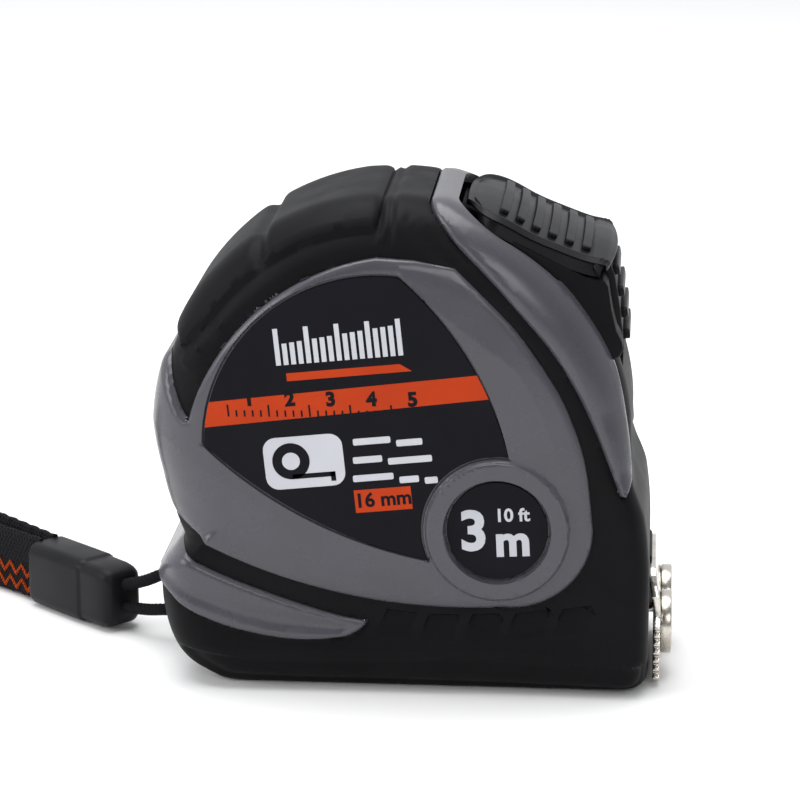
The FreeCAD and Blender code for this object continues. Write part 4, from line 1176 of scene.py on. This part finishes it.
def make_bay():
    """Rubber walls beside the lock's leg, and the floor and sides of the bay that the lock sits in."""
    walls = [slab("wall", HOUSING, *sorted((side * 7.6, side * 12.6)), RUBBER, bevel=0.35, segments=3)
             for side in (LEFT, RIGHT)]
    floors = []
    for line, half in ((BAY_TAIL, 10.5), (BAY_FLOOR, 13.2)):
        below = [(x - 0.9, z - 0.9) for x, z in reversed(line)]
        floors.append(slab("floor", line + below, -half, half, RUBBER, bevel=0))
    rim = [(CENTRE[0] + 27.4 * math.cos(math.radians(a)), CENTRE[1] + 27.4 * math.sin(math.radians(a)))
           for a in np.linspace(18, 60, 24)]
    sides = [slab("side", BAY_FLOOR + rim, *sorted((side * 12.95, side * 13.3)), RUBBER, bevel=0)
             for side in (LEFT, RIGHT)]
    settle(joined("lock_bay", walls + floors + sides), "case", "rubber_black")


make_bay()


TRAVEL = 75.1
FEED_START, FEED_END = 6.0, 23.0
BLADE_HALF = 7.9


def drawn_in(x_out):
    """Where a point of the strip lies at rest, from where it is with the strip out."""
    rest = np.linspace(4.0, 40.0, 4000)
    return np.interp(x_out, rest + TRAVEL * ease((rest - FEED_START) / (FEED_END - FEED_START)), rest)


def strip_height(y):
    return 8.62 + 0.95 * (np.asarray(y) / BLADE_HALF) ** 2


def lay_on_strip(item, x_out, y):
    """Set flat ink, drawn about the origin in the ground plane, on the strip."""
    for vert in item.data.vertices:
        place = vert.co / MM
        across = place.y + y
        height = float(strip_height(across)) + INK + place.z
        vert.co = Vector((float(drawn_in(place.x + x_out)), across, height)) * MM
    return item


def ink_box(half_x, half_y, material):
    plan = box_outline(-half_x, -half_y, half_x, half_y)
    points = [(x, y, z) for z in (-INK / 2, INK / 2) for x, y in plan]
    faces = [(3, 2, 1, 0), (4, 5, 6, 7), (0, 1, 5, 4), (1, 2, 6, 5), (2, 3, 7, 6), (3, 0, 4, 7)]
    return build("ink", points, faces, material)


def make_blade():
    """One hollowed strip with a line each millimetre on both edges and a figure each ten."""
    tip = node_mm("blade_tip_length")[1].x
    far = tip + TRAVEL
    along = drawn_in(np.concatenate([np.arange(5.6, far, 0.8), [far]]))
    columns = 17
    across = np.linspace(-BLADE_HALF, BLADE_HALF, columns)
    points, rows = [], len(along)
    for x in along:
        nib = max(0.0, (x - (tip - 1.2)) / 1.2)
        points += [(x, y * (1 - 0.1 * nib ** 2), float(strip_height(y))) for y in across]
    faces = [(r * columns + c, (r + 1) * columns + c, (r + 1) * columns + c + 1, r * columns + c + 1)
             for r in range(rows - 1) for c in range(columns - 1)]
    parts = [smooth_by_angle(thicken(build("strip", points, faces, BLADE_YELLOW), 0.13), 60)]
    for k in range(1, int(far - 9)):
        long = 5.0 if k % 10 == 0 else 3.4 if k % 5 == 0 else 2.1
        for side in (-1, 1):
            tick = ink_box(0.11, long / 2, BLADE_BLACK)
            parts.append(lay_on_strip(tick, far - k, side * (BLADE_HALF - 0.25 - long / 2)))
    for k in range(1, int((far - 14) / 10)):
        figure = lettering(str(k), 4.2, 0.14, BLADE_RED if k % 10 == 0 else BLADE_BLACK)
        figure.data.transform(Matrix.Rotation(math.pi / 2, 4, "Z") @ Matrix.Rotation(-math.pi / 2, 4, "X"))
        parts.append(lay_on_strip(figure, far - 10 * k - 2.6, 0))
    blade = joined("blade_strip", parts)
    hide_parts("blade_tip_length", "blade_mid_length", "blade_rear_length")
    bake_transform(blade)


make_blade()


# --- hook ----------------------------------------------------------------------------------------
MAGNET_Y, MAGNET_Z = 5.2, 6.6


def make_hook():
    """Pressed plate: a rounded ear bent back at the top, straight sides, saw teeth down the lower sides."""
    low, high = node_mm("hook")
    thick = 0.9
    x, half, top = 33.0, 11.0, high.z
    teeth, pitch, root = 7, 1.1, half - 0.55
    edge = [(root - 0.2, low.z)]
    for k in range(teeth):
        foot = low.z + k * pitch
        edge += [(root, foot + 0.15), (half, foot + 0.4), (half, foot + 0.75), (root, foot + 1.0)]
    edge += [(half - 1.5, 8.6), (half - 1.2, 9.6), (half - 1.25, top - 3.4), (half - 1.7, top - 2.1),
             (half - 2.6, top - 1.0), (half - 3.8, top - 0.3), (half - 5.4, top)]
    outline = edge + [(-y, z) for y, z in reversed(edge)]
    count = len(outline)
    points = [(x + d, y, z) for d in (0.0, thick) for y, z in outline]
    faces = [tuple(range(count)), tuple(range(count, 2 * count))[::-1]]
    faces += [(k, (k + 1) % count, (k + 1) % count + count, k + count) for k in range(count)]
    plate = outward(build("plate", points, faces, NICKEL))
    work = bmesh.new()
    work.from_mesh(plate.data)
    split_across(work, np.arange(top - 7, top, 0.6), (0, 0, 1))
    for vert in work.verts:
        vert.co.x -= 0.75 * MM * float(ease((vert.co.z / MM - top + 5.5) / 6))
    work.to_mesh(plate.data)
    work.free()
    modify(plate, "BEVEL", width=0.12 * MM, segments=2, limit_method="ANGLE", angle_limit=math.radians(35))
    smooth_by_angle(plate, 50)
    tang = slab("tang", [(24.2, 7.85), (24.2, 8.3), (32.6, 8.35), (33.4, 8.9), (33.6, 7.9), (32.9, 7.8)],
                -5.4, 5.4, NICKEL, bevel=0.1)
    settle(joined("hook_plate", [plate, tang]), "hook", "steel_nickel", "hook")


def turned(name, x_profile, y, z, material, count=40):
    """A piece of revolution about a line along X, from (x, radius) pairs."""
    points = [(x, y + across, z + up) for x, r in x_profile for across, up in circle(r, count)]
    sides, ends = ring_faces(len(x_profile), count)
    return smooth_by_angle(outward(build(name, points, sides + ends, material)), 40)


def make_magnets():
    """Two steel cups with a rolled lip, each round a sintered magnet."""
    front = node_mm("magnet_cups")[1].x
    cup = [(33.9, 3.75), (34.0, 3.95), (34.2, 4.0), (front - 0.25, 4.0), (front - 0.07, 3.93), (front, 3.75),
           (front, 3.4), (front - 0.2, 3.3), (front - 0.2, 3.05)]
    core = [(front - 0.3, 2.9), (front - 0.12, 2.9), (front - 0.04, 2.8)]
    for name, profile, material, slot, node in (("cups", cup, CUP_NICKEL, "steel_nickel", "magnet_cups"),
                                                ("cores", core, MAGNET, "magnet", "hook_magnets")):
        pair = [turned(name, profile, side * MAGNET_Y, MAGNET_Z, material) for side in (LEFT, RIGHT)]
        settle(joined(name, pair), "hook", slot, node)


make_hook()
make_magnets()


# --- liners --------------------------------------------------------------------------------------
def liner(name, x_open, x_deep, half, z_low, z_high, slot):
    """Walls and end of a hole that goes in along X."""
    points = [(x, y, z) for x in (x_open, x_deep) for y, z in ((-half, z_low), (half, z_low), (half, z_high),
                                                               (-half, z_high))]
    faces = [(0, 1, 5, 4), (1, 2, 6, 5), (2, 3, 7, 6), (3, 0, 4, 7), (4, 5, 6, 7)]
    if x_deep > x_open:
        faces = [face[::-1] for face in faces]
    settle(smooth_by_angle(thicken(build(name, points, faces, RUBBER), 0.5), 30), "case", slot)


liner("mouth_liner", 31.6, 19.0, 9.5, 5.0, 13.0, "rubber_black")
liner("lanyard_seat", -25.4, -22.2, 6.0, 2.8, 11.4, "rubber_black")


# --- materials of the pieces that keep their CAD shape ---------------------------------------------
for name, finish in (("case_screws", SCREW_STEEL), ("hub_post", REEL_PLASTIC), ("power_spring", SPRING_STEEL),
                     ("mouth_guide", GUIDE_PLASTIC), ("hook_bumper", RUBBER), ("lock_pin", SCREW_STEEL),
                     ("belt_clip", CLIP_STEEL), ("clip_screw", SCREW_STEEL), ("lanyard_pin", SCREW_STEEL),
                     ("spool_drum", REEL_PLASTIC), ("spring_cover", REEL_PLASTIC),
                     ("blade_roll", BLADE_YELLOW), ("hook_rivets", NICKEL), ("brake_shoe", REEL_PLASTIC)):
    node = NODES[name]
    if not node.material_slots:
        node.data.materials.append(finish)
    for held in node.material_slots:
        held.material = finish
